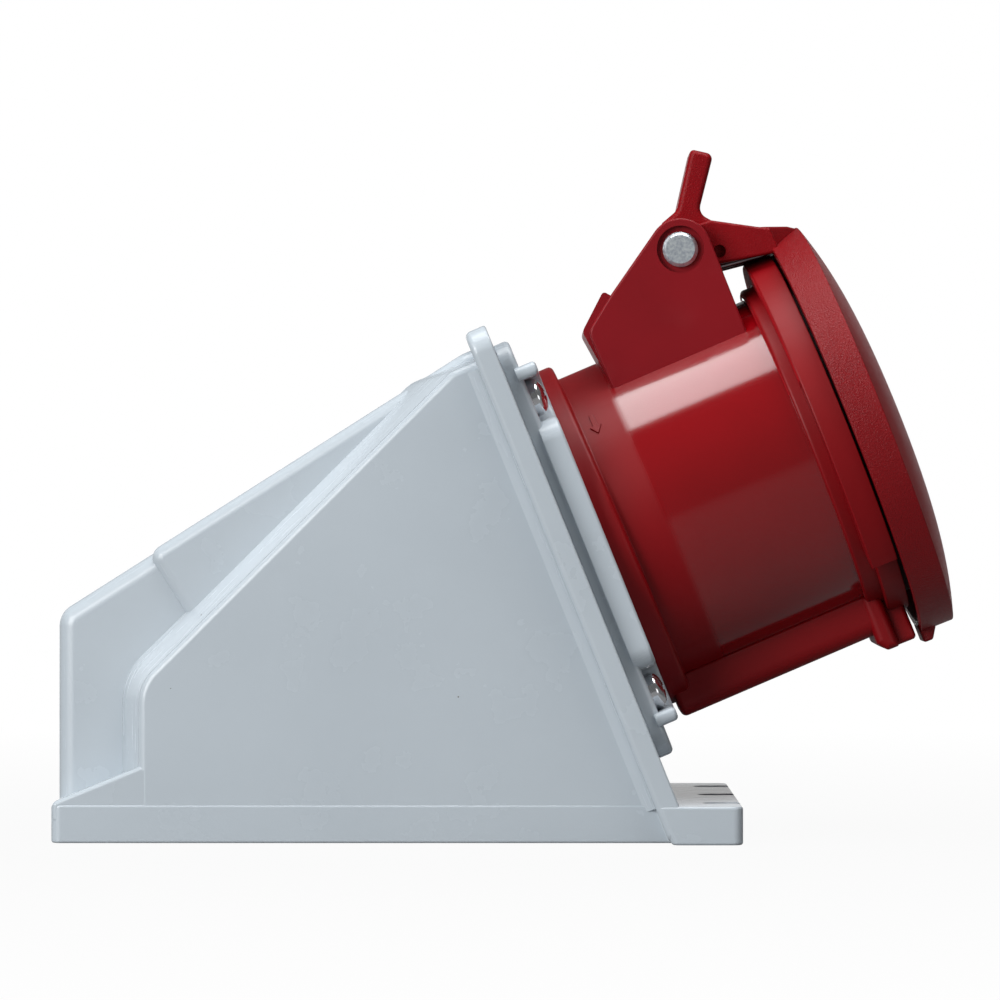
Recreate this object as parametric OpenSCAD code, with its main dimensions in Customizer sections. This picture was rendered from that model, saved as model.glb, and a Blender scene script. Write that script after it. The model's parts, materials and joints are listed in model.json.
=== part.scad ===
// Wall-mounted industrial socket outlet for a round five-pin plug.
// A two-part enclosure has a tilted mouth. A flange in the mouth carries a tubular shell by a bayonet,
// the shell holds the insert with its contacts, and a sprung lid closes the shell.
// X runs along the wall from the cable end to the plug end, Y across it, and Z away from it.
// The origin is the centre of the wall plate's back face.

/* [Wall plate] */
// Length of the wall plate
plate_l = 135; // [128:1:145]
// Width of the wall plate and of the hood's wide body
plate_w = 76; // [75:0.5:82]
// Height of the plate's rim
plate_h = 7.5; // [6.5:0.5:9]
// Thickness of the plate's floor
floor_t = 3; // [2:0.5:4]
// Radius of the plate's upright corners
plate_corner = 2; // [1:0.5:3]
// Length of the fixing ledge in front of the mouth frame
ledge_l = 10.2; // [9.5:0.1:13]
// Width of each open fixing slot
slot_w = 4.8; // [4:0.1:6]
// Depth of the fixing slots from the ledge's end
slot_depth = 7.2; // [6:0.1:8]
// Spacing of the three fixing slots
slot_pitch = 31.5; // [26:0.5:36]
// Diameter of the two closed wall holes under the hood
wall_hole_d = 5.2; // [4.5:0.1:6]
// Spacing of the two closed wall holes
wall_hole_pitch = 44; // [40:0.5:48]
// Distance of the closed wall holes from the cable end
wall_hole_in = 34; // [30:0.5:40]

/* [Hood] */
// Wall thickness of the hood
hood_wall = 2.5; // [2:0.1:3]
// Width of the narrow cable end
dome_w = 60; // [57:0.5:64]
// Height of the cable end's face above the wall
dome_h = 44.7; // [42:0.1:47]
// Set-back of the cable end's face from the plate's end
dome_back = 0.8; // [0.6:0.1:1.5]
// Slope of the roof
roof_slope = 32.4; // [31:0.1:34]
// Distance from the plate's end to the step in the roof
hump_in = 18.3; // [17:0.1:21]
// Height of the step in the roof
hump_rise = 0.5; // [0.3:0.1:1]
// Step in width at the roof's step, on each side
hump_side = 1.5; // [1:0.1:2.5]
// Distance from the plate's end to the wide body
shoulder_in = 17.2; // [16:0.1:20]
// Height at which the wide body's slanting edge starts
shoulder_h = 31; // [28:0.5:34]
// Slope of the wide body's slanting edge
body_slope = 45; // [43:0.5:47]
// Radius of the bend in the wide body's edge
shoulder_r = 9; // [6:0.5:12]
// Run of the ramp between the wide body and the narrow cable end
ramp = 4.3; // [3:0.1:5]
// Height of the sloping feet beside the cable end
foot_rise = 7.2; // [5:0.1:9]
// Rounding of the hood's edges
soft_edge = 2.5; // [1.5:0.1:3]
// Diameter of the cable entry's bore
entry_d = 12; // [10:0.5:14]
// Height of the cable entry's axis above the wall
entry_h = 27; // [25:0.5:30]

/* [Mouth frame] */
// Tilt of the socket's axis
tilt = 23.2; // [22:0.1:25]
// Distance of the socket's axis up the frame from the plate
axis_rise = 54; // [52:0.5:57]
// Width of the frame and of the fixing ledge
frame_w = 90; // [88:0.5:96]
// Thickness of the frame
frame_t = 4.4; // [3.5:0.1:6]
// Reach of the frame above the socket's axis
frame_top = 47.8; // [47:0.1:52]
// Radius of the frame's upper corners
frame_corner = 5; // [3:0.5:8]
// Reach of the roof above the socket's axis, at the frame
crown_r = 44.6; // [43.5:0.1:46]
// Reach of the wide body above the socket's axis, at the frame
body_top = 42; // [41:0.1:43]
// Fillet between the wide body and the frame
flare = 2.2; // [1:0.1:3]

/* [Socket flange] */
// Height of the flange's base
flange_h = 87; // [85:0.5:92]
// Width of the flange's base
flange_w = 83; // [81:0.5:87]
// Thickness of the flange's base
flange_t = 3.1; // [2.5:0.1:4]
// Size of the flange's square step
step_size = 75; // [74:0.5:79]
// Height of the flange's step
step_t = 3.3; // [2.8:0.1:4]
// Spacing of the flange screws
screw_pitch = 62.2; // [61:0.1:64]
// Width of the pockets for the flange screws
pocket_w = 9; // [8.4:0.1:10]
// Diameter of the flange screws' heads
screw_head_d = 7.6; // [7:0.1:8]
// Height of the screws' heads
screw_head_h = 2.5; // [2:0.1:2.8]
// Diameter of the screws' shanks
screw_d = 3.9; // [3.4:0.1:4.2]

/* [Shell] */
// Diameter of the shell's bore
bore_d = 58; // [56:0.5:60]
// Wall thickness of the tube
tube_wall = 4.1; // [3.5:0.1:4.6]
// Reach of the bayonet ring beyond the tube
ring_out = 3.1; // [2.5:0.1:3.8]
// Thickness of the bayonet ring
ring_t = 2.6; // [2:0.1:3.5]
// Thickness of the seal under the bayonet ring
seal_t = 0.8; // [0.6:0.1:1.2]
// Distance of the mouth from the frame, along the axis
mouth_w = 57.35; // [55:0.1:60]
// Rake of the mouth against the flange
rake = 1.5; // [0:0.1:2]
// Length of the ring behind the mouth
mouth_ring_l = 8; // [7:0.1:9]
// Reach of that ring beyond the tube
mouth_ring_out = 1.7; // [1:0.1:2.4]
// Length of the collar at the mouth
collar_l = 5.4; // [4.4:0.1:6]
// Reach of the collar beyond the tube
collar_out = 6.4; // [5.5:0.1:7]
// Angle below the axis at which the collar ends
collar_dip = 41.5; // [30:0.5:45]
// Reach of the keyway's bulge beyond the tube
key_out = 6.1; // [5.8:0.1:7]
// Width of the keyway's bulge
key_w = 23.2; // [21:0.1:25]
// Width of the keyway inside
keyway_w = 10; // [8:0.1:12]
// Depth of the keyway below the bore
keyway_depth = 7; // [6:0.1:7.2]
// Reach of the lug at the mouth beyond the tube
lug_out = 10; // [9:0.1:11]

/* [Hinge] */
// Distance of the hinge pin behind the mouth
pin_back = 15.5; // [15:0.1:17]
// Distance of the hinge pin above the collar
pin_rise = 7.5; // [7:0.1:9]
// Diameter of the hinge pin
pin_d = 7; // [6.4:0.1:7.4]
// Width over both ears
ears_w = 39; // [37:0.5:42]
// Thickness of each ear
ear_t = 4.5; // [4:0.1:5]
// Radius of the ears round the pin
ear_r = 6.2; // [5.8:0.1:6.8]
// Length of the ears' foot along the tube
ear_l = 29.5; // [28:0.5:31]
// Diameter of the spring's wire
wire_d = 1.3; // [1:0.1:1.5]
// Mean radius of the spring's coils
coil_r = 4.9; // [4.6:0.1:5.1]

/* [Lid] */
// Radius of the lid
lid_r = 42.6; // [42:0.1:45]
// Gap between collar and lid
lid_gap = 1.15; // [1:0.05:1.6]
// Height of the lid's rim
lid_rim = 5.5; // [5:0.1:6.5]
// Rise of the lid's dome
dome_rise = 5.3; // [4.5:0.1:6.5]
// Wall thickness of the lid
lid_wall = 2.2; // [1.8:0.1:2.8]
// Width of the finger lever
lever_w = 18; // [14:0.5:22]
// Reach of the finger lever from the pin
lever_reach = 20.6; // [18:0.1:23]
// Direction of the finger lever from the socket's axis
lever_angle = 54; // [50:0.5:58]
// Thickness of the finger lever
lever_t = 4.2; // [3.4:0.1:5]

/* [Contacts] */
// Diameter of the circle of contacts
contact_circle = 29.5; // [28.5:0.1:30.5]
// Diameter of the line and neutral contacts' bores
pin_bore_d = 5.1; // [5:0.05:5.3]
// Diameter of the earth contact's bore
earth_bore_d = 7.1; // [7:0.05:7.3]
// Diameter of the insert's pedestal
insert_d = 44.6; // [44:0.1:46]
// Distance of the insert's face behind the mouth
insert_in = 7; // [6:0.1:8]
// Wall thickness of the contact sleeves
sleeve_wall = 1.2; // [1:0.05:1.3]

/* [Hidden] */

$fn = 64;
grey = [0.72, 0.75, 0.77];
red = [0.56, 0.07, 0.11];
black = [0.08, 0.08, 0.09];
brass = [0.80, 0.66, 0.34];
steel = [0.72, 0.73, 0.75];

// Clearances
gap = 0.2;
slip = 0.05;
turn = 0.06;
far = 300;
below = 40;

// The mouth frame's front plane starts at this point of the plate's top.
foot_x = plate_l / 2 - ledge_l;
axis_x = foot_x - axis_rise * sin(tilt);
axis_z = plate_h + axis_rise * cos(tilt);

// Hood
end_x = -plate_l / 2;
dome_x = end_x + dome_back;
hump_x = end_x + hump_in;
shoulder_x = end_x + shoulder_in;
hump_w = dome_w + 2 * hump_side;
dome_edge = soft_edge + 0.5;
panel_side = 8;
panel_w = dome_w - 2 * panel_side;
neck_wall = 4;
neck_d = entry_d + 2 * neck_wall;
panel_rim = 1.7;
panel_top = entry_h + neck_d / 2 + panel_rim;
grommet_lip = 2.5;
grommet_hook = 2;
hook_t = 2;
sleeve_t = 1.5;
sleeve_l = 5;
lip_h = 5;
gasket_w = 1.2;
gasket_h = 1.8;
lip_t = 1.6;
nib_y = 20;
nib_w = 10;
nib_out = 1.6;
nib_z = plate_h + gasket_h + 0.8;
nib_t = 1.8;
well_r = screw_head_d / 2 + 0.4;
post_r = well_r + 1.8;
well_x = dome_x + hood_wall + gasket_w + lip_t + 3 * gap + post_r;
well_in = 14;
well_y = dome_w / 2 - well_in;
well_h = 16.5;
well_floor = plate_h + well_h;
washer_t = 1;

// Flange
flange_corner = 4;
step_corner = 5;
step_top = flange_t + step_t;
mount_r = screw_pitch / 2;
screw_l = 14;
boss_l = 8;
boss_r = plate_w / 2 - hood_wall - mount_r - gap;

// Shell
bore_r = bore_d / 2;
tube_r = bore_r + tube_wall;
ring_r = tube_r + ring_out;
ring_w = step_top + seal_t;
spigot_r = tube_r - 2.4;
spigot_back = -11.5;
flange_bore_r = spigot_r + gap;
collar_back = -9;
flange_collar_r = flange_bore_r + 2.6;
mouth_hole_r = flange_collar_r + 0.4;
gasket_r = mouth_hole_r + 1;
mouth_gasket_w = 2;
mouth_gasket_t = 1;
lug_r = flange_bore_r + 1.5;
lug_arc = 40;
mouth_ring_r = tube_r + mouth_ring_out;
collar_r = tube_r + collar_out;
key_r = tube_r + key_out;
catch_r = tube_r + lug_out;
seat_w = 6;

// Hinge, with distances along the axis and above it
pin_w = mouth_w - pin_back;
pin_r = collar_r + pin_rise;
ear_front = pin_w + ear_r;
ear_back = ear_front - ear_l;
ear_y = ears_w / 2;
ear_in = ear_y - ear_t;
knuckle_y = ear_in - 0.3;
knuckle_r = ear_r - 0.5;
pocket_y = 8;
head_d = pin_d + 2.4;
head_depth = 1.4;

// Lid
dome_radius = (pow(lid_r, 2) + pow(dome_rise, 2)) / (2 * dome_rise);
dome_top = lid_gap + lid_rim + dome_rise;
seal_in = bore_r + 0.4;
seal_out = tube_r + 0.6;
seal_depth = 2.8;
seal_clear = 0.3;
tab_w = 10;
tab_out = 2.1;

// Contacts
contact_r = contact_circle / 2;
insert_r = insert_d / 2;
insert_face = mouth_w - insert_in;
insert_screw_in = 10;
back_t = 8;
back_w = seat_w - back_t;
hold_t = 2;
joint = 0.05;
sleeve_front = insert_face - 3;
collar_t = 4;
barrel_r = 4.6;
barrel_back = -15;
neck_w = 14;
wire_bore_r = 2.4;
clamp_w = -10;
clamp_r = 1.95;
band_w = sleeve_front - 9;
band_t = 0.7;
// Angle of each contact from the keyway
contact_angles = [72, 144, 216, 288, 0];
contact_bores = [pin_bore_d, pin_bore_d, pin_bore_d, pin_bore_d, earth_bore_d];

// A point of the socket's middle plane, w along its axis from the frame and r above the axis
function at(w, r) =
    [axis_x + w * cos(tilt) - r * sin(tilt), axis_z + w * sin(tilt) + r * cos(tilt)];

// X of a plane parallel to the frame's front, w in front of it, at height z
function frame_x(w, z) = foot_x + (plate_h - z) * tan(tilt) + w / cos(tilt);

// Height of the roof at x
function roof_z(x, rise) = dome_h + (x - dome_x) * tan(roof_slope) + rise / cos(roof_slope);

// Where a line through (x0, z0) meets the line that runs r above the socket's axis
function crown_w(r, x0, z0, slope) =
    (z0 + (axis_x - r * sin(tilt) - x0) * tan(slope) - axis_z - r * cos(tilt))
    / (sin(tilt) - cos(tilt) * tan(slope));

// Radius of the chamber round a contact's sleeve and its spring band, and of the contact's collar
function chamber_r(bore_d) = bore_d / 2 + sleeve_wall + band_t + gap;
function contact_collar_r(bore_d) = chamber_r(bore_d) + 1;

// Where a line from p touches a circle round c, on its upper side
function tangent(p, c, r) =
    let (d = norm(c - p), a = atan2(c[1] - p[1], c[0] - p[0]) + asin(r / d), l = sqrt(d * d - r * r))
    p + l * [cos(a), sin(a)];

function unit(v) = v / norm(v);

// The socket's frame: X along its axis from the mouth frame, Z above it
module at_socket() translate([axis_x, 0, axis_z]) rotate([0, -tilt, 0]) children();

// A turned shape on the socket's axis, or beside it
module on_axis(w, r = 0, y = 0) at_socket() translate([w, y, r]) rotate([0, 90, 0]) children();

// The raked mouth: X out of it, Z above the axis
module at_mouth() at_socket() translate([mouth_w, 0, 0]) rotate([0, rake, 0]) children();

module mouth_turned(w) at_mouth() translate([w, 0, 0]) rotate([0, 90, 0]) children();

// An outline in the X and Z plane, given a width across
module across(width) rotate([90, 0, 0]) linear_extrude(width, center = true) children();

module rounded_rect(a, b, c) {
    square([a - 2 * c, b], center = true);
    square([a, b - 2 * c], center = true);
    for (x = [-1, 1], y = [-1, 1])
        translate([x * (a / 2 - c), y * (b / 2 - c)]) circle(c);
}

module ring(r_in, r_out, t) difference() {
    cylinder(r = r_out, h = t);
    translate([0, 0, -1]) cylinder(r = r_in, h = t + 2);
}

// An outline with a width across and rounded edges
module soft_slab(width, edge, corner, shrink) hull()
    for (a = [0:30:90])
        across(width - 2 * shrink - 2 * edge * (1 - sin(a)))
            offset(r = corner - edge * (1 - cos(a)), $fn = 32) offset(delta = -corner - shrink) children();

// Domed screw head with a cross recess, underside at the origin, shank downwards
module pan_screw(head_d, head_h, shank_d, length) difference() {
    union() {
        intersection() {
            cylinder(d = head_d, h = head_h);
            translate([0, 0, head_h - head_d]) sphere(r = head_d);
        }
        translate([0, 0, -length]) cylinder(d = shank_d, h = length + 0.5);
    }
    for (a = [0, 90]) rotate(a)
        translate([-head_d * 0.3, -head_d * 0.07, head_h * 0.4])
            cube([head_d * 0.6, head_d * 0.14, head_h]);
}

module each_flange_screw() for (r = [-1, 1], y = [-1, 1]) on_axis(0, r * mount_r, y * mount_r) children();

module each_hood_screw(z) for (y = [-1, 1]) translate([well_x, y * well_y, z]) children();

module at_contact(w, angle) on_axis(w, -contact_r * cos(angle), contact_r * sin(angle)) children();

// Outlines of the hood in its side view
module body_outline() polygon([[shoulder_x, -below], [shoulder_x, shoulder_h],
    at(crown_w(body_top, shoulder_x, shoulder_h, body_slope), body_top), at(below, body_top),
    at(below, -axis_rise - below)]);

module dome_outline() polygon([[dome_x, -below], [dome_x, dome_h],
    [hump_x + below, roof_z(hump_x + below, 0)], [hump_x + below, -below]]);

module hump_outline() {
    start = [hump_x, roof_z(hump_x, hump_rise)];
    polygon([start + 2 * below * [sin(roof_slope), -cos(roof_slope)], start,
        at(crown_w(crown_r, dome_x, dome_h + hump_rise / cos(roof_slope), roof_slope), crown_r),
        at(below, crown_r), at(below, -axis_rise - below)]);
}

// The wide body, whose slanting edge ramps down to the narrow cable end
module wide_body(shrink) hull() {
    across(plate_w - 2 * shrink) body_edge(-shrink - 0.6);
    across(plate_w - 2 * shrink - 1) body_edge(-shrink);
    across(dome_w - 2 * shrink) intersection() {
        body_edge(ramp - shrink);
        polygon([at(-far, crown_r - shrink), at(far, crown_r - shrink), at(far, -far), at(-far, -far)]);
    }
}

module body_edge(grow) offset(r = shoulder_r + grow, $fn = 32) offset(delta = -shoulder_r) body_outline();

module hood_form(shrink) {
    wide_body(shrink);
    soft_slab(dome_w, dome_edge, dome_edge, shrink) dome_outline();
    soft_slab(hump_w, soft_edge, soft_edge, shrink) hump_outline();
}

// Everything in front of a plane parallel to the frame
module in_front_of(w) at_socket() translate([w, -far, -far]) cube(2 * far);

// Plan of the space inside the hood's lower edge
module hood_plan(inset) offset(r = dome_edge, $fn = 32) offset(delta = -dome_edge) {
    front = frame_x(-frame_t, plate_h + lip_h) - inset;
    back = dome_x + hood_wall + inset;
    wide = shoulder_x + hood_wall + inset;
    translate([back, -dome_w / 2 + hood_wall + inset])
        square([front - back, dome_w - 2 * hood_wall - 2 * inset]);
    translate([wide, -plate_w / 2 + hood_wall + inset])
        square([front - wide, plate_w - 2 * hood_wall - 2 * inset]);
}

// Nibs of the plate's lip, which hook into the frame's back
module lip_nibs(grow) {
    start = frame_x(-frame_t, plate_h + lip_h) - 2 * gap - lip_t;
    end = frame_x(-frame_t, nib_z) + nib_out + grow;
    for (y = [-1, 1]) translate([start, y * nib_y - nib_w / 2 - grow, nib_z - grow])
        cube([end - start, nib_w + 2 * grow, nib_t + 2 * grow]);
}

module base_plate() color(grey) difference() {
    union() {
        linear_extrude(plate_h) rounded_rect(plate_l, plate_w, plate_corner);
        // The fixing ledge is as wide as the frame and starts on its back plane
        intersection() {
            across(frame_w) polygon([[frame_x(-frame_t, 0), 0], [plate_l / 2, 0], [plate_l / 2, plate_h],
                [frame_x(-frame_t, plate_h), plate_h]]);
            translate([0, 0, -1]) linear_extrude(plate_h + 2) rounded_rect(plate_l, frame_w, plate_corner);
        }
        linear_extrude(plate_h + lip_h) difference() {
            hood_plan(gasket_w + 2 * gap);
            hood_plan(gasket_w + 2 * gap + lip_t);
        }
        lip_nibs(0);
    }
    difference() {
        translate([0, 0, floor_t]) linear_extrude(plate_h) hood_plan(gasket_w + 2 * gap + lip_t);
        each_hood_screw(0) cylinder(r = post_r, h = plate_h);
    }
    each_hood_screw(floor_t / 2) cylinder(d = screw_d + 2 * slip, h = plate_h);
    for (y = [-1, 1]) translate([end_x + wall_hole_in, y * wall_hole_pitch / 2, -1])
        cylinder(d = wall_hole_d, h = plate_h);
    for (y = [-1, 0, 1]) translate([plate_l / 2 - slot_depth + slot_w / 2, y * slot_pitch, -1]) {
        cylinder(d = slot_w, h = plate_h + 2);
        translate([0, -slot_w / 2, 0]) cube([slot_depth, slot_w, plate_h + 2]);
    }
}

// Saddle-shaped cover with two wells for its screws, open to the plate, the frame and the entry plate
module hood() color(grey) difference() {
    union() {
        hood_form(0);
        // Fillets between the wide body's sides and the frame
        for (y = [-1, 1]) at_socket() translate([-frame_t, y * (plate_w / 2 - 0.5), -axis_rise - below / 2])
            linear_extrude(axis_rise + below / 2 + body_top - 2 * soft_edge)
                polygon([[0, 0], [-flare, 0], [-flare, y * 0.5], [0, y * (flare + 0.5)]]);
        // Sloping feet beside the narrow cable end
        across(plate_w) polygon([[end_x + 0.3, plate_h - 1], [end_x + 0.3, plate_h],
            [shoulder_x, plate_h + foot_rise], [shoulder_x + ramp, plate_h + foot_rise],
            [shoulder_x + ramp, plate_h - 1]]);
    }
    difference() {
        hood_form(hood_wall);
        each_hood_screw(0) cylinder(r = post_r, h = far);
    }
    in_front_of(-frame_t);
    each_hood_screw(well_floor) cylinder(r = well_r, h = far);
    each_hood_screw(0) cylinder(d = screw_d + 2 * gap, h = far);
    entry_panel(slip, 1);
    translate([-far, -far, plate_h - 2 * far]) cube(2 * far);
}

// Tilted frame round the mouth, with bosses for the flange's screws behind it
module mouth_frame() color(grey) difference() {
    union() {
        on_axis(-frame_t) linear_extrude(frame_t) translate([(axis_rise + below - frame_top) / 2, 0])
            rounded_rect(axis_rise + below + frame_top, frame_w, frame_corner);
        each_flange_screw() translate([0, 0, -frame_t - boss_l]) cylinder(r = boss_r, h = boss_l + 1);
    }
    on_axis(-frame_t - 1) cylinder(r = mouth_hole_r, h = frame_t + 2);
    each_flange_screw() translate([0, 0, -frame_t - boss_l - 1]) cylinder(d = screw_d + 2 * slip, h = far);
    lip_nibs(gap);
    translate([-far, -far, plate_h - 2 * far]) cube(2 * far);
}

// Upright panel in the cable end, which stands on the plate
module entry_panel(grow, through) translate([dome_x - through, -panel_w / 2 - grow, plate_h - through])
    cube([hood_wall + 2 * through, panel_w + 2 * grow, panel_top - plate_h + through + grow]);

module entry_plate() color(grey) difference() {
    entry_panel(0, 0);
    translate([dome_x - 1, 0, entry_h]) rotate([0, 90, 0])
        cylinder(d = neck_d + 2 * slip, h = hood_wall + 2);
}

module hood_gasket() color(black) translate([0, 0, plate_h]) linear_extrude(gasket_h) difference() {
    hood_plan(gap);
    hood_plan(gap + gasket_w);
}

module hood_screws() color(steel) each_hood_screw(well_floor + washer_t)
    pan_screw(screw_head_d, screw_head_h, screw_d, well_floor + washer_t - floor_t);

module hood_screw_seals() color(black) each_hood_screw(well_floor)
    ring(screw_d / 2 + slip, screw_head_d / 2, washer_t);

module entry_grommet() color(black) translate([dome_x, 0, entry_h]) rotate([0, 90, 0]) difference() {
    union() {
        translate([0, 0, -dome_back + 0.1]) cylinder(d = neck_d + 2 * grommet_lip, h = dome_back - 0.1);
        cylinder(d = neck_d, h = hood_wall);
        translate([0, 0, hood_wall]) cylinder(d1 = neck_d + 2 * grommet_hook, d2 = neck_d + 1, h = hook_t);
        translate([0, 0, hood_wall]) cylinder(d = entry_d + 2 * sleeve_t, h = sleeve_l);
    }
    translate([0, 0, -2]) cylinder(d = entry_d, h = far);
}

// Stepped flange, whose pockets for the screws open to the sides
module socket_flange() color(grey) difference() {
    union() {
        on_axis(0) linear_extrude(flange_t) rounded_rect(flange_h, flange_w, flange_corner);
        on_axis(0) linear_extrude(step_top) rounded_rect(step_size, step_size, step_corner);
        on_axis(collar_back) cylinder(r = flange_collar_r, h = 1 - collar_back);
    }
    on_axis(collar_back - 1) cylinder(r = flange_bore_r, h = far);
    on_axis(-1) ring(gasket_r - slip, gasket_r + mouth_gasket_w + slip, mouth_gasket_t + 1);
    each_flange_screw() {
        translate([0, 0, -1]) cylinder(d = screw_d + 2 * gap, h = far);
        translate([0, 0, flange_t]) cylinder(d = pocket_w, h = far);
    }
    for (r = [-1, 1], y = [-1, 1]) on_axis(flange_t, r * mount_r, y * mount_r)
        translate([-pocket_w / 2, y > 0 ? 0 : -far, 0]) cube([pocket_w, far, far]);
    for (a = [30:120:270]) on_axis(collar_back - 1) rotate(a) bayonet_arc(lug_r + gap, lug_arc + 4, far);
}

module bayonet_arc(r, angle, t) rotate(-angle / 2) rotate_extrude(angle = angle)
    translate([flange_bore_r - 1, 0]) square([r - flange_bore_r + 1, t]);

module flange_gasket() color(black) on_axis(0)
    ring(gasket_r, gasket_r + mouth_gasket_w, mouth_gasket_t);

module flange_screws() color(steel) each_flange_screw() translate([0, 0, flange_t])
    pan_screw(screw_head_d, screw_head_h, screw_d, screw_l);

module shell_seal() color(black) on_axis(step_top) ring(spigot_r + gap, ring_r - 1, seal_t);

// Side view of one ear, round the pin
module ear_outline() {
    heel = [ear_back + 7, tube_r + 11];
    polygon([[ear_back, tube_r - 8], [ear_back, tube_r + 6], heel, tangent(heel, [pin_w, pin_r], ear_r),
        [pin_w, pin_r], [ear_front, pin_r], [ear_front - 0.6, tube_r - 8]]);
    translate([pin_w, pin_r]) circle(ear_r);
}

// The bar between the ears that the open lid's lever meets
module web_outline() polygon([[ear_back, tube_r - 4], [ear_back - 1, tube_r + 6.6],
    [ear_back + 6, tube_r + 12.4], [ear_back + 7.5, tube_r + 10.4], [ear_back + 5, tube_r - 4]]);

module socket_shell() color(red) difference() {
    union() {
        on_axis(spigot_back) cylinder(r = spigot_r, h = ring_w - spigot_back + 1);
        for (a = [90:120:330]) on_axis(spigot_back) rotate(a)
            bayonet_arc(lug_r, lug_arc, collar_back - spigot_back - gap);
        on_axis(ring_w) rotate_extrude() polygon([[0, 0], [ring_r - 0.6, 0], [ring_r, 0.6],
            [ring_r, ring_t - 0.8], [ring_r - 0.8, ring_t], [0, ring_t]]);
        on_axis(ring_w) cylinder(r = tube_r, h = mouth_w - mouth_ring_l / 2 - ring_w);
        mouth_turned(-mouth_ring_l / 2) cylinder(r = tube_r, h = mouth_ring_l / 2);
        mouth_turned(-mouth_ring_l) cylinder(r = mouth_ring_r, h = mouth_ring_l - 1);
        mouth_turned(0) rotate(90 - collar_dip) rotate_extrude(angle = 180 + 2 * collar_dip)
            polygon([[tube_r - 2, -collar_l], [collar_r - 0.5, -collar_l], [collar_r, 0.5 - collar_l],
                [collar_r, -0.6], [collar_r - 0.6, 0], [tube_r - 2, 0]]);
        // Bulge over the keyway, and the lug at its end
        at_socket() across(key_w) polygon([[ring_w, -bore_r - 2], [ring_w, -key_r + 2],
            [ring_w + 1.5, -key_r], [mouth_w - mouth_ring_l, -key_r],
            [mouth_w - mouth_ring_l, -bore_r - 2]]);
        at_mouth() across(key_w + 1) polygon([[-mouth_ring_l - 1, -bore_r - 2],
            [-mouth_ring_l - 1, -catch_r + 2], [-mouth_ring_l + 0.4, -catch_r], [-collar_l + 0.5, -catch_r],
            [-collar_l + 0.5, -bore_r - 2]]);
        at_mouth() across(key_w - 5) polygon([[-collar_l, -bore_r - 2], [-collar_l, -catch_r],
            [-1, -catch_r], [-1, -bore_r - 2]]);
        for (y = [-1, 1])
            at_socket() translate([0, y * (ear_y - ear_t / 2), 0]) across(ear_t) ear_outline();
        at_socket() across(2 * ear_in + 1) web_outline();
    }
    on_axis(spigot_back - 1) cylinder(r = bore_r, h = far);
    at_socket() across(keyway_w) polygon([[seat_w + 6, 0], [seat_w + 6, -bore_r - keyway_depth],
        [far, -bore_r - keyway_depth], [far, 0]]);
    at_socket() translate([pin_w, 0, pin_r]) rotate([90, 0, 0]) {
        cylinder(d = pin_d + 2 * slip, h = far, center = true);
        for (y = [-1, 1]) translate([0, 0, y * (ear_y - head_depth + 5)])
            cylinder(d = head_d, h = 10, center = true);
    }
}

// The insert is built of five cells, one round each contact
module contact_insert() color(black) for (i = [0:4]) difference() {
    bore = contact_bores[i];
    a = contact_angles[i];
    half = 180 / len(contact_angles);
    intersection() {
        union() {
            on_axis(seat_w) cylinder(r = insert_r, h = insert_face - seat_w - 1);
            on_axis(insert_face - 1) cylinder(r1 = insert_r, r2 = insert_r - 1, h = 1);
        }
        on_axis(seat_w) rotate(a) translate([joint / sin(half), 0]) linear_extrude(far)
            polygon([[0, 0], far * [cos(half), -sin(half)], far * [cos(half), sin(half)]]);
    }
    at_contact(seat_w - 1, a) cylinder(r = chamber_r(bore), h = sleeve_front + gap - seat_w + 1);
    at_contact(sleeve_front, a) cylinder(d = bore + 0.8, h = far);
    at_contact(insert_face - 1, a) cylinder(d1 = bore + 0.8, d2 = bore + 3, h = 1.1);
    on_axis(seat_w - 1) cylinder(d = screw_d + 2 * slip, h = insert_screw_in + 2);
}

// Rear disc, which holds the contacts by their collars
module insert_back() color(black) difference() {
    on_axis(back_w) cylinder(r = bore_r - gap, h = back_t);
    for (i = [0:4]) {
        at_contact(back_w - 1, contact_angles[i]) cylinder(r = barrel_r + slip, h = back_t + 2);
        at_contact(seat_w - collar_t, contact_angles[i])
            cylinder(r = contact_collar_r(contact_bores[i]) + slip, h = collar_t + 1);
    }
    on_axis(back_w - 1) cylinder(d = screw_d + 2 * gap, h = back_t + 2);
}

// Ring in the shell's bore that holds the rear disc
module insert_ring() color(black) on_axis(seat_w) ring(insert_r + gap, bore_r - slip, hold_t);

module insert_screw() color(steel) on_axis(back_w) rotate([180, 0, 0])
    pan_screw(screw_head_d, screw_head_h, screw_d, back_t + insert_screw_in);

// Slotted sleeve for the pin, collar that the rear disc holds, and clamp for the wire
module contact(angle, bore_d) color(brass) difference() {
    union() {
        at_contact(barrel_back, angle) cylinder(r = barrel_r, h = seat_w - barrel_back);
        at_contact(seat_w - collar_t, angle) cylinder(r = contact_collar_r(bore_d), h = collar_t);
        at_contact(seat_w - 1, angle) cylinder(d = bore_d + 2 * sleeve_wall, h = sleeve_front - seat_w + 1);
    }
    at_contact(neck_w, angle) cylinder(d = bore_d, h = far);
    at_contact(neck_w + 10, angle) translate([-far / 2, -0.4, 0]) cube([far, 0.8, far]);
    at_contact(barrel_back - 1, angle) cylinder(r = wire_bore_r, h = 12);
    at_contact(clamp_w, angle) rotate([0, 90, 180 - angle]) cylinder(r = clamp_r + slip, h = far);
}

module contact_l1() contact(contact_angles[0], pin_bore_d);

module contact_l2() contact(contact_angles[1], pin_bore_d);

module contact_l3() contact(contact_angles[2], pin_bore_d);

module contact_neutral() contact(contact_angles[3], pin_bore_d);

module contact_earth() contact(contact_angles[4], earth_bore_d);

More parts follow.
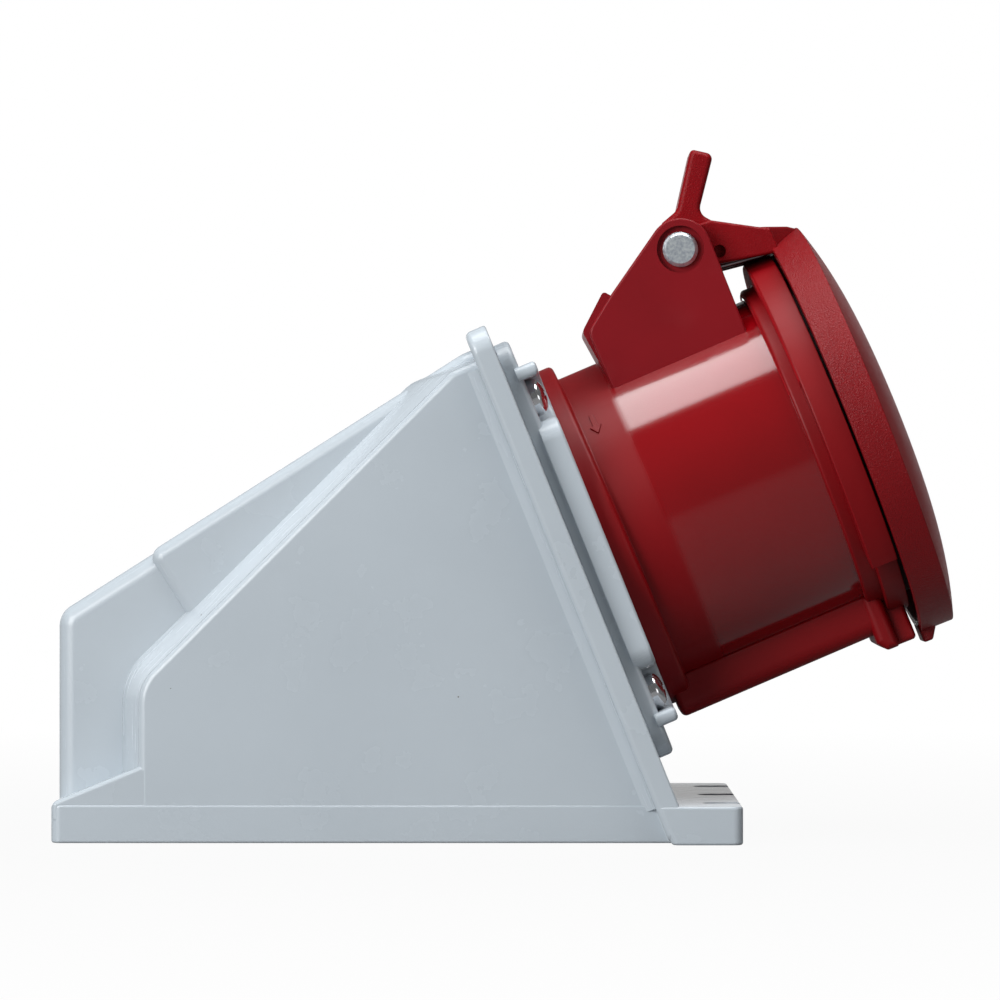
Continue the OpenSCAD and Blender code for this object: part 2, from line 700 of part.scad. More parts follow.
module terminal_screws() color(steel) for (a = contact_angles)
    at_contact(clamp_w, a) rotate([0, 90, 180 - a]) translate([0, 0, wire_bore_r - 0.6]) difference() {
        cylinder(r = clamp_r, h = 5);
        translate([-far / 2, -0.4, 4]) cube([far, 0.8, far]);
    }

module contact_springs() color(steel) for (i = [0:4]) at_contact(band_w, contact_angles[i]) {
    r = contact_bores[i] / 2 + sleeve_wall;
    rotate(20) rotate_extrude(angle = 320) translate([r + slip, 0]) square([band_t - 2 * slip, 3]);
}

module hinge_pin() color(steel) at_socket() translate([pin_w, 0, pin_r]) rotate([90, 0, 0]) rotate_extrude()
    polygon([[0, -ear_y], [pin_d / 2 - 0.5, -ear_y], [pin_d / 2, -ear_y + 0.5], [pin_d / 2, ear_y - 0.5],
        [pin_d / 2 - 0.5, ear_y], [0, ear_y]]);

// Side view of the arm and finger lever between pin and lid
module arm_outline() {
    pin = [pin_w, pin_r];
    along = [cos(lever_angle), sin(lever_angle)];
    aside = lever_t / 2 * [-sin(lever_angle), cos(lever_angle)];
    tip = pin + lever_reach * along;
    polygon([pin - 1.5 * along + aside, pin + 9 * along + aside, tip + aside, tip - aside,
        pin + 8.5 * along - aside, pin + [8, 3.9],
        [mouth_w + lid_gap + lid_rim - 1, lid_r + 0.2], [mouth_w + lid_gap + 2.5, collar_r + 0.8],
        [pin_w + 7, collar_r + 1.8]]);
    translate(pin) circle(knuckle_r);
}

module lid() color(red) difference() {
    union() {
        intersection() {
            mouth_turned(lid_gap) rotate_extrude() polygon([[0, 0], [lid_r - 0.4, 0], [lid_r, 0.4],
                [lid_r, lid_rim - 0.8], [lid_r - 1, lid_rim + 0.4], [lid_r - 1, lid_rim + dome_rise],
                [0, lid_rim + dome_rise]]);
            mouth_turned(dome_top - dome_radius) sphere(r = dome_radius, $fn = 96);
        }
        at_socket() arm_block(2 * knuckle_y, lever_w);
        // Root of the arm on the lid's rim
        at_mouth() translate([lid_gap, 0, lid_r]) across(2 * knuckle_y) polygon([[0, -4], [0, -1.8],
            [1, 0.2], [lid_rim - 1, 0.2], [lid_rim + 0.2, -1], [lid_rim + 0.2, -4]]);
        at_mouth() across(tab_w) polygon([[lid_gap - 1, -lid_r + 2], [lid_gap - 1, -lid_r - tab_out],
            [lid_gap + 1, -lid_r - tab_out], [lid_gap + 3, -lid_r + 1]]);
    }
    difference() {
        intersection() {
            mouth_turned(lid_gap - 1) cylinder(r = lid_r - lid_wall, h = far);
            mouth_turned(dome_top - dome_radius) sphere(r = dome_radius - lid_wall, $fn = 96);
        }
        // Seat of the gasket
        mouth_turned(lid_gap) ring(seal_in - 1.4, seal_out + 1.4, far);
    }
    mouth_turned(lid_gap - 2) ring(seal_in - slip, seal_out + slip, 2 + seal_depth);
    at_socket() translate([pin_w, 0, pin_r]) rotate([90, 0, 0]) {
        cylinder(d = pin_d + 2 * turn, h = far, center = true);
        cylinder(r = coil_r + wire_d / 2 + 0.7, h = 2 * pocket_y, center = true);
    }
}

module arm_block(width, lever) intersection() {
    across(width) arm_outline();
    union() {
        translate([0, -far, -far]) cube([2 * far, 2 * far, far + pin_r + knuckle_r + 1]);
        translate([0, -lever / 2, 0]) cube([2 * far, lever, far]);
    }
}

module lid_gasket() color(black) mouth_turned(seal_clear)
    ring(seal_in, seal_out, lid_gap + seal_depth - seal_clear);

// Path of one half of the spring: leg under the arm, coil, and leg to the tube
function half_spring() =
    let (
        hook = [pin_w + 10.2, collar_r + 0.5],
        rest = [ear_back + 9.5, tube_r + wire_d / 2 + 0.1],
        d_hook = hook - [pin_w, pin_r],
        d_rest = rest - [pin_w, pin_r],
        from = atan2(d_hook[1], d_hook[0]) - acos(coil_r / norm(d_hook)),
        to = atan2(d_rest[1], d_rest[0]) + acos(coil_r / norm(d_rest)) - 3 * 360,
        steps = 52,
        pitch = wire_d + 0.2,
        inner = 2.4,
        outer = inner + pitch * (from - to) / 360
    )
    concat(
        [[hook[0], -outer, hook[1]]],
        [for (i = [0:steps]) let (a = from + (to - from) * i / steps)
            [pin_w + coil_r * cos(a), -outer + (outer - inner) * i / steps, pin_r + coil_r * sin(a)]],
        [[rest[0], -inner, rest[1]]]
    );

module lid_spring() color(steel) at_socket() {
    half = half_spring();
    count = len(half);
    path = concat(half, [for (i = [count - 1:-1:0]) [half[i][0], -half[i][1], half[i][2]]]);
    sides = 8;
    last = len(path) - 1;
    points = [for (i = [0:last])
        let (
            t = unit(path[min(i + 1, last)] - path[max(i - 1, 0)]),
            n = unit(cross(t, [0, 1, 0])) * (i < count ? 1 : -1),
            b = cross(t, n)
        )
        for (k = [0:sides - 1]) let (a = 360 * k / sides) path[i] + wire_d / 2 * (n * cos(a) + b * sin(a))];
    faces = concat(
        [[for (k = [0:sides - 1]) k]],
        [for (i = [0:last - 1], k = [0:sides - 1]) let (m = (k + 1) % sides)
            [i * sides + k, (i + 1) * sides + k, (i + 1) * sides + m, i * sides + m]],
        [[for (k = [sides - 1:-1:0]) last * sides + k]]
    );
    polyhedron(points, faces);
}

base_plate();
hood();
mouth_frame();
entry_plate();
hood_gasket();
hood_screws();
hood_screw_seals();
entry_grommet();
socket_flange();
flange_gasket();
flange_screws();
shell_seal();
socket_shell();
contact_insert();
insert_back();
insert_ring();
insert_screw();
contact_l1();
contact_l2();
contact_l3();
contact_neutral();
contact_earth();
terminal_screws();
contact_springs();
hinge_pin();
lid();
lid_gasket();
lid_spring();
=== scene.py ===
# %% [markdown]
# # A wall-mounted industrial socket
# The real object is a grey plastic enclosure that is screwed to a wall. A red tube for a round plug leans
# out of it, and a red lid with a finger lever closes the tube. This lesson dresses the imported model with
# smooth pieces and finishes. The imported model could be shaded as it is, but its edges are sharp, and moulded
# plastic shows its soft edges first. So each visible moulding is worked out again as a smooth surface in the
# same place.

# %% Load the imported model
import json

import bmesh
import bpy
import numpy as np
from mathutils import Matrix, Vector

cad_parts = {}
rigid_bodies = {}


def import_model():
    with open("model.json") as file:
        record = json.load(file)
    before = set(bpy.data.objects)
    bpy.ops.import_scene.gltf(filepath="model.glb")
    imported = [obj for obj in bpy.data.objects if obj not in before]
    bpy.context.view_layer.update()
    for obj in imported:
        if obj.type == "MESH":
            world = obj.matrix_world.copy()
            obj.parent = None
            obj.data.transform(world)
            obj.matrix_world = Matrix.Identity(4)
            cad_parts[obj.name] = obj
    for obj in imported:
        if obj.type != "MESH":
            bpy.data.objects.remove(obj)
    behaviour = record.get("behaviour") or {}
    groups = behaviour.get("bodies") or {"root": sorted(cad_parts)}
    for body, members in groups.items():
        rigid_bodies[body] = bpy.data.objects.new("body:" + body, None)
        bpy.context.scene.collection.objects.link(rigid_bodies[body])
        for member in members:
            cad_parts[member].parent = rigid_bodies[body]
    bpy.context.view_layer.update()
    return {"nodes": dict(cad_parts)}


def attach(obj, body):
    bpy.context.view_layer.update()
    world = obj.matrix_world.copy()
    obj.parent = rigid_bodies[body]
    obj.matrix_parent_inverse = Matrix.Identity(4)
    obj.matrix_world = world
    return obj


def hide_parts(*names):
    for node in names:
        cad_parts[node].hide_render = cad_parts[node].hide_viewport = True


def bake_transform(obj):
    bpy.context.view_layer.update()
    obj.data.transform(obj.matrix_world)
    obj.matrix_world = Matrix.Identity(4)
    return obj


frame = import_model()

# %% [markdown]
# ## Two tilted frames
# The socket leans by 23.2 degrees, and its mouth by another 1.5. Each piece could be modelled level and
# turned as an object, but a finished object stays unturned here. So two small functions turn whole arrays of
# points: one from the socket's own directions (along its axis, across, above it), one from the mouth's.
# All measures are in millimetres until a mesh is built.

# %% From the socket and its mouth to the shared frame
MM = 0.001
TILT, RAKE = np.radians(23.2), np.radians(1.5)
PLATE_TOP = 7.5
FOOT_X = 57.3  # where the frame's front meets the plate's top
AXIS_RISE = 54.0  # from there up the frame to the axis
AXIS_X = FOOT_X - AXIS_RISE * np.sin(TILT)
AXIS_Z = PLATE_TOP + AXIS_RISE * np.cos(TILT)
MOUTH_W = 57.35  # from the frame's front along the axis to the mouth


def level(x, y, z):
    """A point of the shared frame as it is."""
    return np.stack(np.broadcast_arrays(x, y, z), -1).astype(float)


def socket(w, y, r):
    """Turn (w along the axis, y across, r above the axis) about Y by the tilt, then move it to the place
    where the axis leaves the frame's front."""
    x = AXIS_X + w * np.cos(TILT) - r * np.sin(TILT)
    z = AXIS_Z + w * np.sin(TILT) + r * np.cos(TILT)
    return level(x, y, z)


def mouth(x, y, r):
    """The same for the raked mouth: x out of it, r above the axis."""
    w = MOUTH_W + x * np.cos(RAKE) + r * np.sin(RAKE)
    return socket(w, y, r * np.cos(RAKE) - x * np.sin(RAKE))


print("mouth's centre in mm:", mouth(0.0, 0.0, 0.0).round(2))

# %% [markdown]
# ## Outlines with round corners
# A moulded part has hardly a sharp corner. An outline could be bevelled after it is a mesh, but a Bevel needs
# clean edges to find. Here the corners are rounded while they are still numbers, as complex ones: a corner's
# turn is then just the angle of one edge divided by the other. Each outline is a function of an offset,
# because a soft edge is the same outline again, a little further in.

# %% Round the corners of an outline
SHARPEST = 0.02  # no corner's radius gets smaller


def rounded(corners, radii, closed=True, steps=8, offset=0.0):
    """Move each corner by the offset along the mitre of its edges' normals. It then becomes an arc that
    touches both edges: the centre lies one radius aside of the edge, and the arc turns through the angle
    between the edges. A convex corner's radius grows with the offset, a hollow one's shrinks."""
    p = np.array(corners, float) @ np.array([1, 1j])
    before, after = np.roll(p, 1), np.roll(p, -1)
    d0, d1 = (p - before) / abs(p - before), (after - p) / abs(after - p)
    turn = np.angle(d1 / d0)
    way_round = np.sign(np.sum((p.conj() * after).imag))
    n0, n1 = -1j * way_round * d0, -1j * way_round * d1
    p = p + offset * (n0 + n1) / (1 + (n0 * n1.conj()).real)
    radius = np.maximum(np.asarray(radii, float) + offset * way_round * np.sign(turn), SHARPEST)
    start = p - d0 * radius * np.tan(abs(turn) / 2)
    aside = 1j * np.sign(turn) * d0 * radius
    spin = np.exp(1j * turn[:, None] * np.linspace(0, 1, steps))
    line = ((start + aside)[:, None] - aside[:, None] * spin).ravel()
    if not closed:
        line = np.concatenate([p[:1], line[steps:-steps], p[-1:]])
    return np.stack([line.real, line.imag], -1)


def soft(corners, radii, steps=8):
    """The rounded outline as a function of its offset."""
    return lambda offset: rounded(corners, radii, steps=steps, offset=offset)


def circle(radius, centre=(0.0, 0.0), steps=48):
    """Centre plus (radius + offset) times (cos t, sin t), as a function of the offset."""
    t = np.linspace(0, 2 * np.pi, steps, endpoint=False)
    ring = np.stack([np.cos(t), np.sin(t)], -1)
    return lambda offset: np.array(centre) + (radius + offset) * ring


def cross(p, a, q, b):
    """Where a line from p at angle a meets a line from q at angle b: two linear equations."""
    u, v = np.array([np.cos(a), np.sin(a)]), np.array([np.cos(b), np.sin(b)])
    k = np.linalg.solve(np.stack([u, -v], 1), np.subtract(q, p))
    return tuple(np.array(p) + k[0] * u)


print("points on a rounded square:", len(rounded([(0, 0), (9, 0), (9, 9), (0, 9)], 2)))

# %% [markdown]
# ## Three ways to make a surface
# Nearly all of this object is plates with soft edges, turned forms, or a profile along a path. They could be
# Blender's primitives with modifiers. As functions on a grid they stay exact, and one formula serves a plate,
# a flange and an ear alike: carry an outline round an edge profile, or turn a profile round an axis.

# %% Grids of points and their faces
def quads(rows, cols, wrap_rows, wrap_cols):
    """Faces between neighbours of a grid, (i, j), (i, j+1), (i+1, j+1), (i+1, j), counted modulo where the
    grid wraps."""
    i = np.arange(rows if wrap_rows else rows - 1)[:, None]
    j = np.arange(cols if wrap_cols else cols - 1)[None, :]
    i1, j1 = (i + 1) % rows, (j + 1) % cols
    corners = [i * cols + j, i * cols + j1, i1 * cols + j1, i1 * cols + j]
    return np.stack(corners, -1).reshape(-1, 4).tolist()


def capped(grid):
    """Points and faces of a grid whose rows are closed loops. Flat faces close the first and the last row."""
    rows, cols = grid.shape[:2]
    ends = np.arange(rows * cols).reshape(rows, cols)[[0, -1]]
    return grid.reshape(-1, 3), quads(rows, cols, False, True) + ends.tolist()


print("quads on a 3 by 4 grid that wraps one way:", len(quads(3, 4, False, True)))

# %% Plates, turned forms and swept wire
def rim(low, high, soft_low, soft_high, steps=7):
    """Edge profile of a plate: (offset, height) along a quarter circle, up the side, along another one."""
    a = np.linspace(0, np.pi / 2, steps)
    top = np.stack([soft_high * (np.cos(a) - 1), high + soft_high * (np.sin(a) - 1)], -1)
    bottom = np.stack([soft_low * (np.cos(a) - 1), low - soft_low * (np.sin(a) - 1)], -1)
    return np.concatenate([bottom[::-1], top])


def plate(outline, profile, place):
    """For each row (offset, height) of the profile: the outline at that offset, at that height."""
    profile = np.asarray(profile, float)
    flat = np.stack([outline(offset) for offset in profile[:, 0]])
    height = np.broadcast_to(profile[:, 1, None], flat.shape[:2])
    return capped(place(flat[..., 0], flat[..., 1], height))


def turned(profile, place, start=-180.0, sweep=360.0, steps=128, closed=True):
    """Each profile point (x, radius) runs round the axis: (x, radius * sin t, radius * cos t). A part turn is
    closed by its profile at both ends."""
    x, radius = np.asarray(profile, float).T[:, :, None]
    rows = len(x)
    full = sweep >= 360.0
    t = np.radians(np.linspace(start, start + sweep, steps, endpoint=not full))
    grid = place(np.broadcast_to(x, (rows, steps)), radius * np.sin(t), radius * np.cos(t))
    faces = quads(rows, steps, closed, full)
    if not full:
        faces += np.arange(rows * steps).reshape(rows, steps)[:, [0, -1]].T.tolist()
    return grid.reshape(-1, 3), faces


def wire(path, radius, square_to=(0.0, 1.0, 0.0), sides=12):
    """A circle carried along a path: path + radius * (cos k * n + sin k * b), where n and b stand square to
    the path's direction."""
    t = np.gradient(path, axis=0)
    t /= np.linalg.norm(t, axis=1, keepdims=True)
    n = np.cross(t, square_to)
    n /= np.linalg.norm(n, axis=1, keepdims=True)
    b = np.cross(t, n)
    k = np.linspace(0, 2 * np.pi, sides, endpoint=False)[:, None]
    return capped(path[:, None] + radius * (np.cos(k) * n[:, None] + np.sin(k) * b[:, None]))


print("points on a short wire:", len(wire(np.eye(3)[:2], 1.0, (0.0, 0.0, 1.0))[0]))

# %% [markdown]
# ## From arrays to Blender objects
# One moulding is often several of these surfaces that run into each other. They could be joined by hand. Here
# a helper puts them into one mesh, merges what coincides and turns every face outwards. A second helper bores
# holes with Blender's Boolean, because a hole that cuts through a soft edge is its job. A third one makes the
# finished piece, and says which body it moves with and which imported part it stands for.

# %% Build a mesh and bore holes
SAME_POINT, NO_LENGTH = 2e-6, 1e-6  # metres


def mesh_of(name, shells):
    """All shells, each (points in mm, faces), in one mesh in metres: doubles merged, normals outwards."""
    bm = bmesh.new()
    for points, faces in shells:
        shell = bpy.data.meshes.new("shell")
        shell.from_pydata((points * MM).tolist(), [], faces)
        bm.from_mesh(shell)
        bpy.data.meshes.remove(shell)
    bmesh.ops.remove_doubles(bm, verts=bm.verts, dist=SAME_POINT)
    bmesh.ops.dissolve_degenerate(bm, edges=bm.edges, dist=NO_LENGTH)
    bmesh.ops.recalc_face_normals(bm, faces=bm.faces)
    mesh = bpy.data.meshes.new(name)
    bm.to_mesh(mesh)
    bm.free()
    return mesh


def linked(name, data):
    """A new object in the scene, at the origin."""
    obj = bpy.data.objects.new(name, data)
    bpy.context.collection.objects.link(obj)
    return obj


def bored(shell, *tools):
    """The shell minus each tool, by an exact Boolean; returns points in mm and faces again."""
    body = linked("bored", mesh_of("bored", [shell]))
    cutters = [linked("tool", mesh_of("tool", [tool])) for tool in tools]
    for cutter in cutters:
        cut = body.modifiers.new("cut", "BOOLEAN")
        cut.operation, cut.solver, cut.object = "DIFFERENCE", "EXACT", cutter
    result = body.evaluated_get(bpy.context.evaluated_depsgraph_get()).to_mesh()
    points = np.empty(len(result.vertices) * 3)
    result.vertices.foreach_get("co", points)
    faces = [list(f.vertices) for f in result.polygons]
    for obj in [body] + cutters:
        bpy.data.objects.remove(obj)
    return points.reshape(-1, 3) / MM, faces


disc = mesh_of("disc", [plate(circle(5.0), rim(0, 2, 0.3, 0.3), level)])
print("vertices of a soft disc:", len(disc.vertices))
bpy.data.meshes.remove(disc)

# %% Make a piece
SHARP_FROM = np.radians(38)  # edges that turn further stay sharp


def make(name, shells, finish, body, stands_for=()):
    """One smooth-shaded piece. Weighted normals keep its flat faces flat up to their soft edges."""
    obj = linked(name, mesh_of(name, shells))
    obj.data.shade_smooth()
    obj.data.set_sharp_from_angle(angle=SHARP_FROM)
    obj.data.materials.append(finish)
    weigh = obj.modifiers.new("weighted normals", "WEIGHTED_NORMAL")
    weigh.mode, weigh.weight, weigh.keep_sharp = "FACE_AREA", 80, True
    if body:
        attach(obj, body)
    if stands_for:
        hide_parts(*stands_for)
    print(name, len(obj.data.vertices), "vertices,", len(obj.data.polygons), "faces")
    return obj


def mirrored(*shells):
    """Each shell and its mirror image in y."""
    return [s for p, f in shells for s in ((p, f), (p * [1, -1, 1], f))]


print("edges stay sharp from", round(np.degrees(SHARP_FROM)), "degrees")

# %% [markdown]
# ## Shared effects for the finishes
# Moulded plastic is never one flat colour: it has a fine grain from the tool, faint clouds in its pigment,
# dark specks, and dust that dulls it here and there. These could be painted as images. As node groups on
# Object coordinates they have no seams, keep their size in millimetres, and each finish places them with its
# own values.

# %% Helpers for nodes
def node(tree, kind, feeds=(), **settings):
    """A node with its settings. Feeds pair an input's name or number with a socket, which is linked to it, or
    with a plain value."""
    made = tree.nodes.new(kind)
    for key, value in settings.items():
        setattr(made, key, value)
    for key, source in dict(feeds).items():
        if isinstance(source, bpy.types.NodeSocket):
            tree.links.new(source, made.inputs[key])
        else:
            made.inputs[key].default_value = source
    return made


def calc(tree, operation, *terms):
    """The result of a Math node whose terms are sockets or plain numbers."""
    return node(tree, "ShaderNodeMath", enumerate(terms), operation=operation).outputs[0]


def new_group(name, inputs, outputs):
    """A shader group with named value inputs (with defaults) and outputs, and its Object coordinates."""
    group = bpy.data.node_groups.new(name, "ShaderNodeTree")
    for label, value in inputs.items():
        made = group.interface.new_socket(label, in_out="INPUT", socket_type="NodeSocketFloat")
        made.default_value = value
    for label in outputs:
        group.interface.new_socket(label, in_out="OUTPUT", socket_type="NodeSocketFloat")
    takes = group.nodes.new("NodeGroupInput").outputs
    gives = group.nodes.new("NodeGroupOutput").inputs
    return group, takes, gives, node(group, "ShaderNodeTexCoord").outputs["Object"]


print("node groups so far:", len(bpy.data.node_groups))

# %% Node groups: grain, specks and scuffs
RARE_SPECK = 0.86  # only cells whose random number is higher have a speck

grain, takes, gives, where = new_group("moulded_grain", {"Pits": 3000.0, "Clouds": 45.0}, ["Height", "Cloud"])
pits = node(grain, "ShaderNodeTexNoise", {"Vector": where, "Scale": takes["Pits"], "Detail": 2.0})
cloud = node(grain, "ShaderNodeTexNoise", {"Vector": where, "Scale": takes["Clouds"], "Detail": 4.0})
grain.links.new(pits.outputs["Fac"], gives["Height"])
grain.links.new(cloud.outputs["Fac"], gives["Cloud"])

specks, takes, gives, where = new_group("dark_specks", {"Density": 160.0, "Size": 0.07}, ["Mask"])
cells = node(specks, "ShaderNodeTexVoronoi", {"Vector": where, "Scale": takes["Density"]})
near = calc(specks, "LESS_THAN", cells.outputs["Distance"], takes["Size"])
draw = node(specks, "ShaderNodeSeparateColor", {"Color": cells.outputs["Color"]})
rare = calc(specks, "GREATER_THAN", draw.outputs["Red"], RARE_SPECK)
specks.links.new(calc(specks, "MULTIPLY", near, rare), gives["Mask"])

scuffs, takes, gives, where = new_group("fine_scuffs", {"Scale": 90.0, "Stretch": 14.0}, ["Mask"])
stretch = node(scuffs, "ShaderNodeCombineXYZ", {"X": 1.0, "Y": takes["Stretch"], "Z": 1.0}).outputs[0]
lines = node(scuffs, "ShaderNodeVectorMath", {0: where, 1: stretch}, operation="MULTIPLY").outputs[0]
streak = node(scuffs, "ShaderNodeTexNoise", {"Vector": lines, "Scale": takes["Scale"], "Detail": 5.0})
clear = {"Value": streak.outputs["Fac"], "From Min": 0.58, "From Max": 0.72}
scuffs.links.new(node(scuffs, "ShaderNodeMapRange", clear).outputs[0], gives["Mask"])
print("groups:", [g.name for g in (grain, specks, scuffs)])

# %% [markdown]
# ## Polished zone
# The middle of the real tube comes from a polished part of the mould and mirrors the lamps, while the ring
# behind it and the raised parts are satin. Two materials would need a cut in the mesh. A mask does without:
# it is 1 where a point lies far enough along the socket's axis and close enough to it, and it eases in over a
# narrow border.

# %% Node group: the polished zone round the axis
BORDER = 0.0008  # half the border's width, in metres
AXIS_FOOT = (AXIS_X * MM, 0.0, AXIS_Z * MM)
AXIS_WAY = (np.cos(TILT), 0.0, np.sin(TILT))


def vector(operation, feeds):
    """The outputs of a Vector Math node in the zone."""
    return node(zone, "ShaderNodeVectorMath", feeds, operation=operation).outputs


zone, takes, gives, where = new_group("polished_zone", {"From": 0.018, "Radius": 0.0336}, ["Mask"])
offset = vector("SUBTRACT", {0: where, 1: AXIS_FOOT})[0]
reach = vector("DOT_PRODUCT", {0: offset, 1: AXIS_WAY})["Value"]
on_axis = vector("SCALE", {0: AXIS_WAY, "Scale": reach})[0]
aside_of_axis = vector("DISTANCE", {0: offset, 1: on_axis})["Value"]
past = {"Value": calc(zone, "SUBTRACT", reach, takes["From"]), "From Min": -BORDER, "From Max": BORDER}
eased = node(zone, "ShaderNodeMapRange", past).outputs[0]
within = calc(zone, "LESS_THAN", aside_of_axis, takes["Radius"])
zone.links.new(calc(zone, "MULTIPLY", eased, within), gives["Mask"])
print("nodes in the polished zone:", len(zone.nodes))

# %% [markdown]
# ## The finishes
# The grey is a satin thermoplastic, the tube a glossier deep red, the lid the same red with a visible grain.
# Metal parts are zinc-plated steel, bright screws, drawn wire and brass. Each could have its own long node
# tree. One recipe is enough: two tones mixed by the clouds, darkened by specks, a roughness that the scuffs
# raise, and a bump from the grain. Only the values differ.

# %% One recipe
CLOUD_LOW, CLOUD_HIGH = 0.3, 0.7


def finish(name, light, dark, rough, pits=3000.0, depth=0.02, clouds=45.0, speck=0.0,
           speck_tone=(0.1, 0.1, 0.1), metallic=0.0, specular=0.5, scuff=(90.0, 14.0), bump_strength=0.35,
           polish=None):
    """Base colour = clouds mixed between two tones, then specks. Roughness = a range driven by the scuffs. A
    polish is the roughness inside the polished zone, which also has a clear coat."""
    material = bpy.data.materials.new(name)
    material.use_nodes = True
    tree = material.node_tree
    shader = tree.nodes["Principled BSDF"].inputs
    shader["Metallic"].default_value = metallic
    shader["Specular IOR Level"].default_value = specular
    grained = node(tree, "ShaderNodeGroup", {"Pits": pits, "Clouds": clouds}, node_tree=grain).outputs
    tone = node(tree, "ShaderNodeValToRGB", {"Fac": grained["Cloud"]})
    low, high = tone.color_ramp.elements
    low.position, high.position = CLOUD_LOW, CLOUD_HIGH
    low.color, high.color = (*dark, 1), (*light, 1)
    colour = tone.outputs["Color"]
    if speck:
        dots = node(tree, "ShaderNodeGroup", {"Size": speck}, node_tree=specks).outputs["Mask"]
        tones = {"Factor": dots, 6: colour, 7: (*speck_tone, 1)}
        colour = node(tree, "ShaderNodeMix", tones, data_type="RGBA").outputs[2]
    tree.links.new(colour, shader["Base Color"])
    worn = node(tree, "ShaderNodeGroup", zip(("Scale", "Stretch"), scuff), node_tree=scuffs).outputs["Mask"]
    span = {"Value": worn, "To Min": rough[0], "To Max": rough[1]}
    roughness = node(tree, "ShaderNodeMapRange", span).outputs[0]
    if polish:
        shiny = node(tree, "ShaderNodeGroup", node_tree=zone).outputs["Mask"]
        tree.links.new(shiny, shader["Coat Weight"])
        shader["Coat Roughness"].default_value = polish
        roughness = node(tree, "ShaderNodeMix", {"Factor": shiny, 2: roughness, 3: polish}).outputs[0]
    tree.links.new(roughness, shader["Roughness"])
    dents = {"Height": grained["Height"], "Strength": bump_strength, "Distance": depth * MM}
    tree.links.new(node(tree, "ShaderNodeBump", dents).outputs[0], shader["Normal"])
    return material


print("materials so far:", len(bpy.data.materials))

# %% Plastics
GREY = finish("grey_satin_plastic", (0.49, 0.547, 0.595), (0.467, 0.522, 0.569), (0.27, 0.3), pits=2200,
              depth=0.03, clouds=30, speck=0.03, speck_tone=(0.2, 0.2, 0.2))
RED_TUBE = finish("red_gloss_plastic", (0.235, 0.001, 0.004), (0.2, 0.001, 0.003), (0.44, 0.54), pits=3200,
                  depth=0.05, clouds=35, specular=0.25, speck=0.03, speck_tone=(0.35, 0.05, 0.06),
                  polish=0.1)
RED_EARS = finish("red_satin_plastic", (0.235, 0.005, 0.010), (0.2, 0.004, 0.008), (0.4, 0.52), pits=3200,
                  depth=0.05, clouds=50, specular=0.22)
RED_LID = finish("red_grained_plastic", (0.235, 0.004, 0.007), (0.195, 0.003, 0.006), (0.34, 0.42), pits=3400,
                 depth=0.2, clouds=60, specular=0.22, bump_strength=0.9, speck=0.04,
                 speck_tone=(0.4, 0.07, 0.08))
RED_ARM = finish("red_fine_plastic", (0.24, 0.004, 0.007), (0.2, 0.003, 0.006), (0.36, 0.44), pits=3400,
                 depth=0.12, clouds=60, specular=0.12, bump_strength=0.8, speck=0.03,
                 speck_tone=(0.4, 0.07, 0.08))
# Painted light: a red brighter than the tube's, with almost no reflection, for strips on shaded back edges.
RED_PAINTED_LIGHT = finish("red_painted_light_plastic", (0.4, 0.012, 0.018), (0.34, 0.01, 0.015), (0.6, 0.7), depth=0.05,
                  specular=0.02)
DARK = finish("dark_insert_plastic", (0.028, 0.028, 0.03), (0.018, 0.018, 0.02), (0.4, 0.55), pits=2500,
              depth=0.05)
print("with the plastics:", len(bpy.data.materials))

# %% Rubber and metals
RUBBER = finish("black_rubber", (0.03, 0.03, 0.031), (0.018, 0.018, 0.019), (0.6, 0.78), pits=1600,
                depth=0.08, specular=0.3)
ZINC = finish("zinc_plated_steel", (0.92, 0.98, 1.0), (0.52, 0.58, 0.66), (0.36, 0.5), pits=2500, depth=0.06,
              clouds=1700, metallic=1.0, scuff=(200.0, 6.0))
WIRE = finish("drawn_spring_wire", (0.46, 0.47, 0.49), (0.34, 0.35, 0.37), (0.3, 0.45), clouds=300,
              metallic=1.0)
SCREW = finish("bright_screw_steel", (0.80, 0.81, 0.83), (0.66, 0.67, 0.69), (0.16, 0.3), clouds=260,
               metallic=1.0)
BRASS = finish("machined_brass", (0.76, 0.58, 0.28), (0.62, 0.45, 0.2), (0.24, 0.4), clouds=150, metallic=1.0)
print("with rubber and metals:", len(bpy.data.materials))

# %% [markdown]
# ## Wall plate
# A shallow grey tray that carries everything. At the plug end a wider ledge sticks out in front of the frame,
# with three open slots for wall screws. The slots could be bored, but they are part of the plan's outline, so
# one rounded outline with three U-shaped inlets gives the whole plate. Its ledge starts on the leaning
# frame's back plane, so those corners are sheared with height.

# %% Plan of the plate, sheared at the ledge
FRAME_THICK = 4.4
SET_BACK = 2.05  # how far the frame's own lean moves its foot back
LEDGE_X = FOOT_X - SET_BACK - FRAME_THICK / np.cos(TILT)
PLATE_END, PLATE_SIDE, LEDGE_SIDE = 67.5, 38, 45
SLOT_END, SLOT_HALF = 60.3, 2.4
corners = [(-PLATE_END, -PLATE_SIDE), (LEDGE_X, -PLATE_SIDE)]
corners += [(LEDGE_X, -LEDGE_SIDE), (PLATE_END, -LEDGE_SIDE)]
radii = [2, 0.6, 1.5, 2]
for slot_y in (-31.5, 0.0, 31.5):
    near_y, far_y = slot_y - SLOT_HALF, slot_y + SLOT_HALF
    corners += [(PLATE_END, near_y), (SLOT_END, near_y), (SLOT_END, far_y), (PLATE_END, far_y)]
    radii += [0.6, 2.39, 2.39, 0.6]
corners += [(x, -y) for x, y in corners[3::-1]]
radii += radii[3::-1]


def ledge_shear(x, y, z):
    """x moves by (plate top - z) * tan(tilt) at the corners where the ledge starts."""
    shift = np.where(abs(x - LEDGE_X) < 2.2, (PLATE_TOP - z) * np.tan(TILT), 0.0)
    return level(x + shift, y, z)


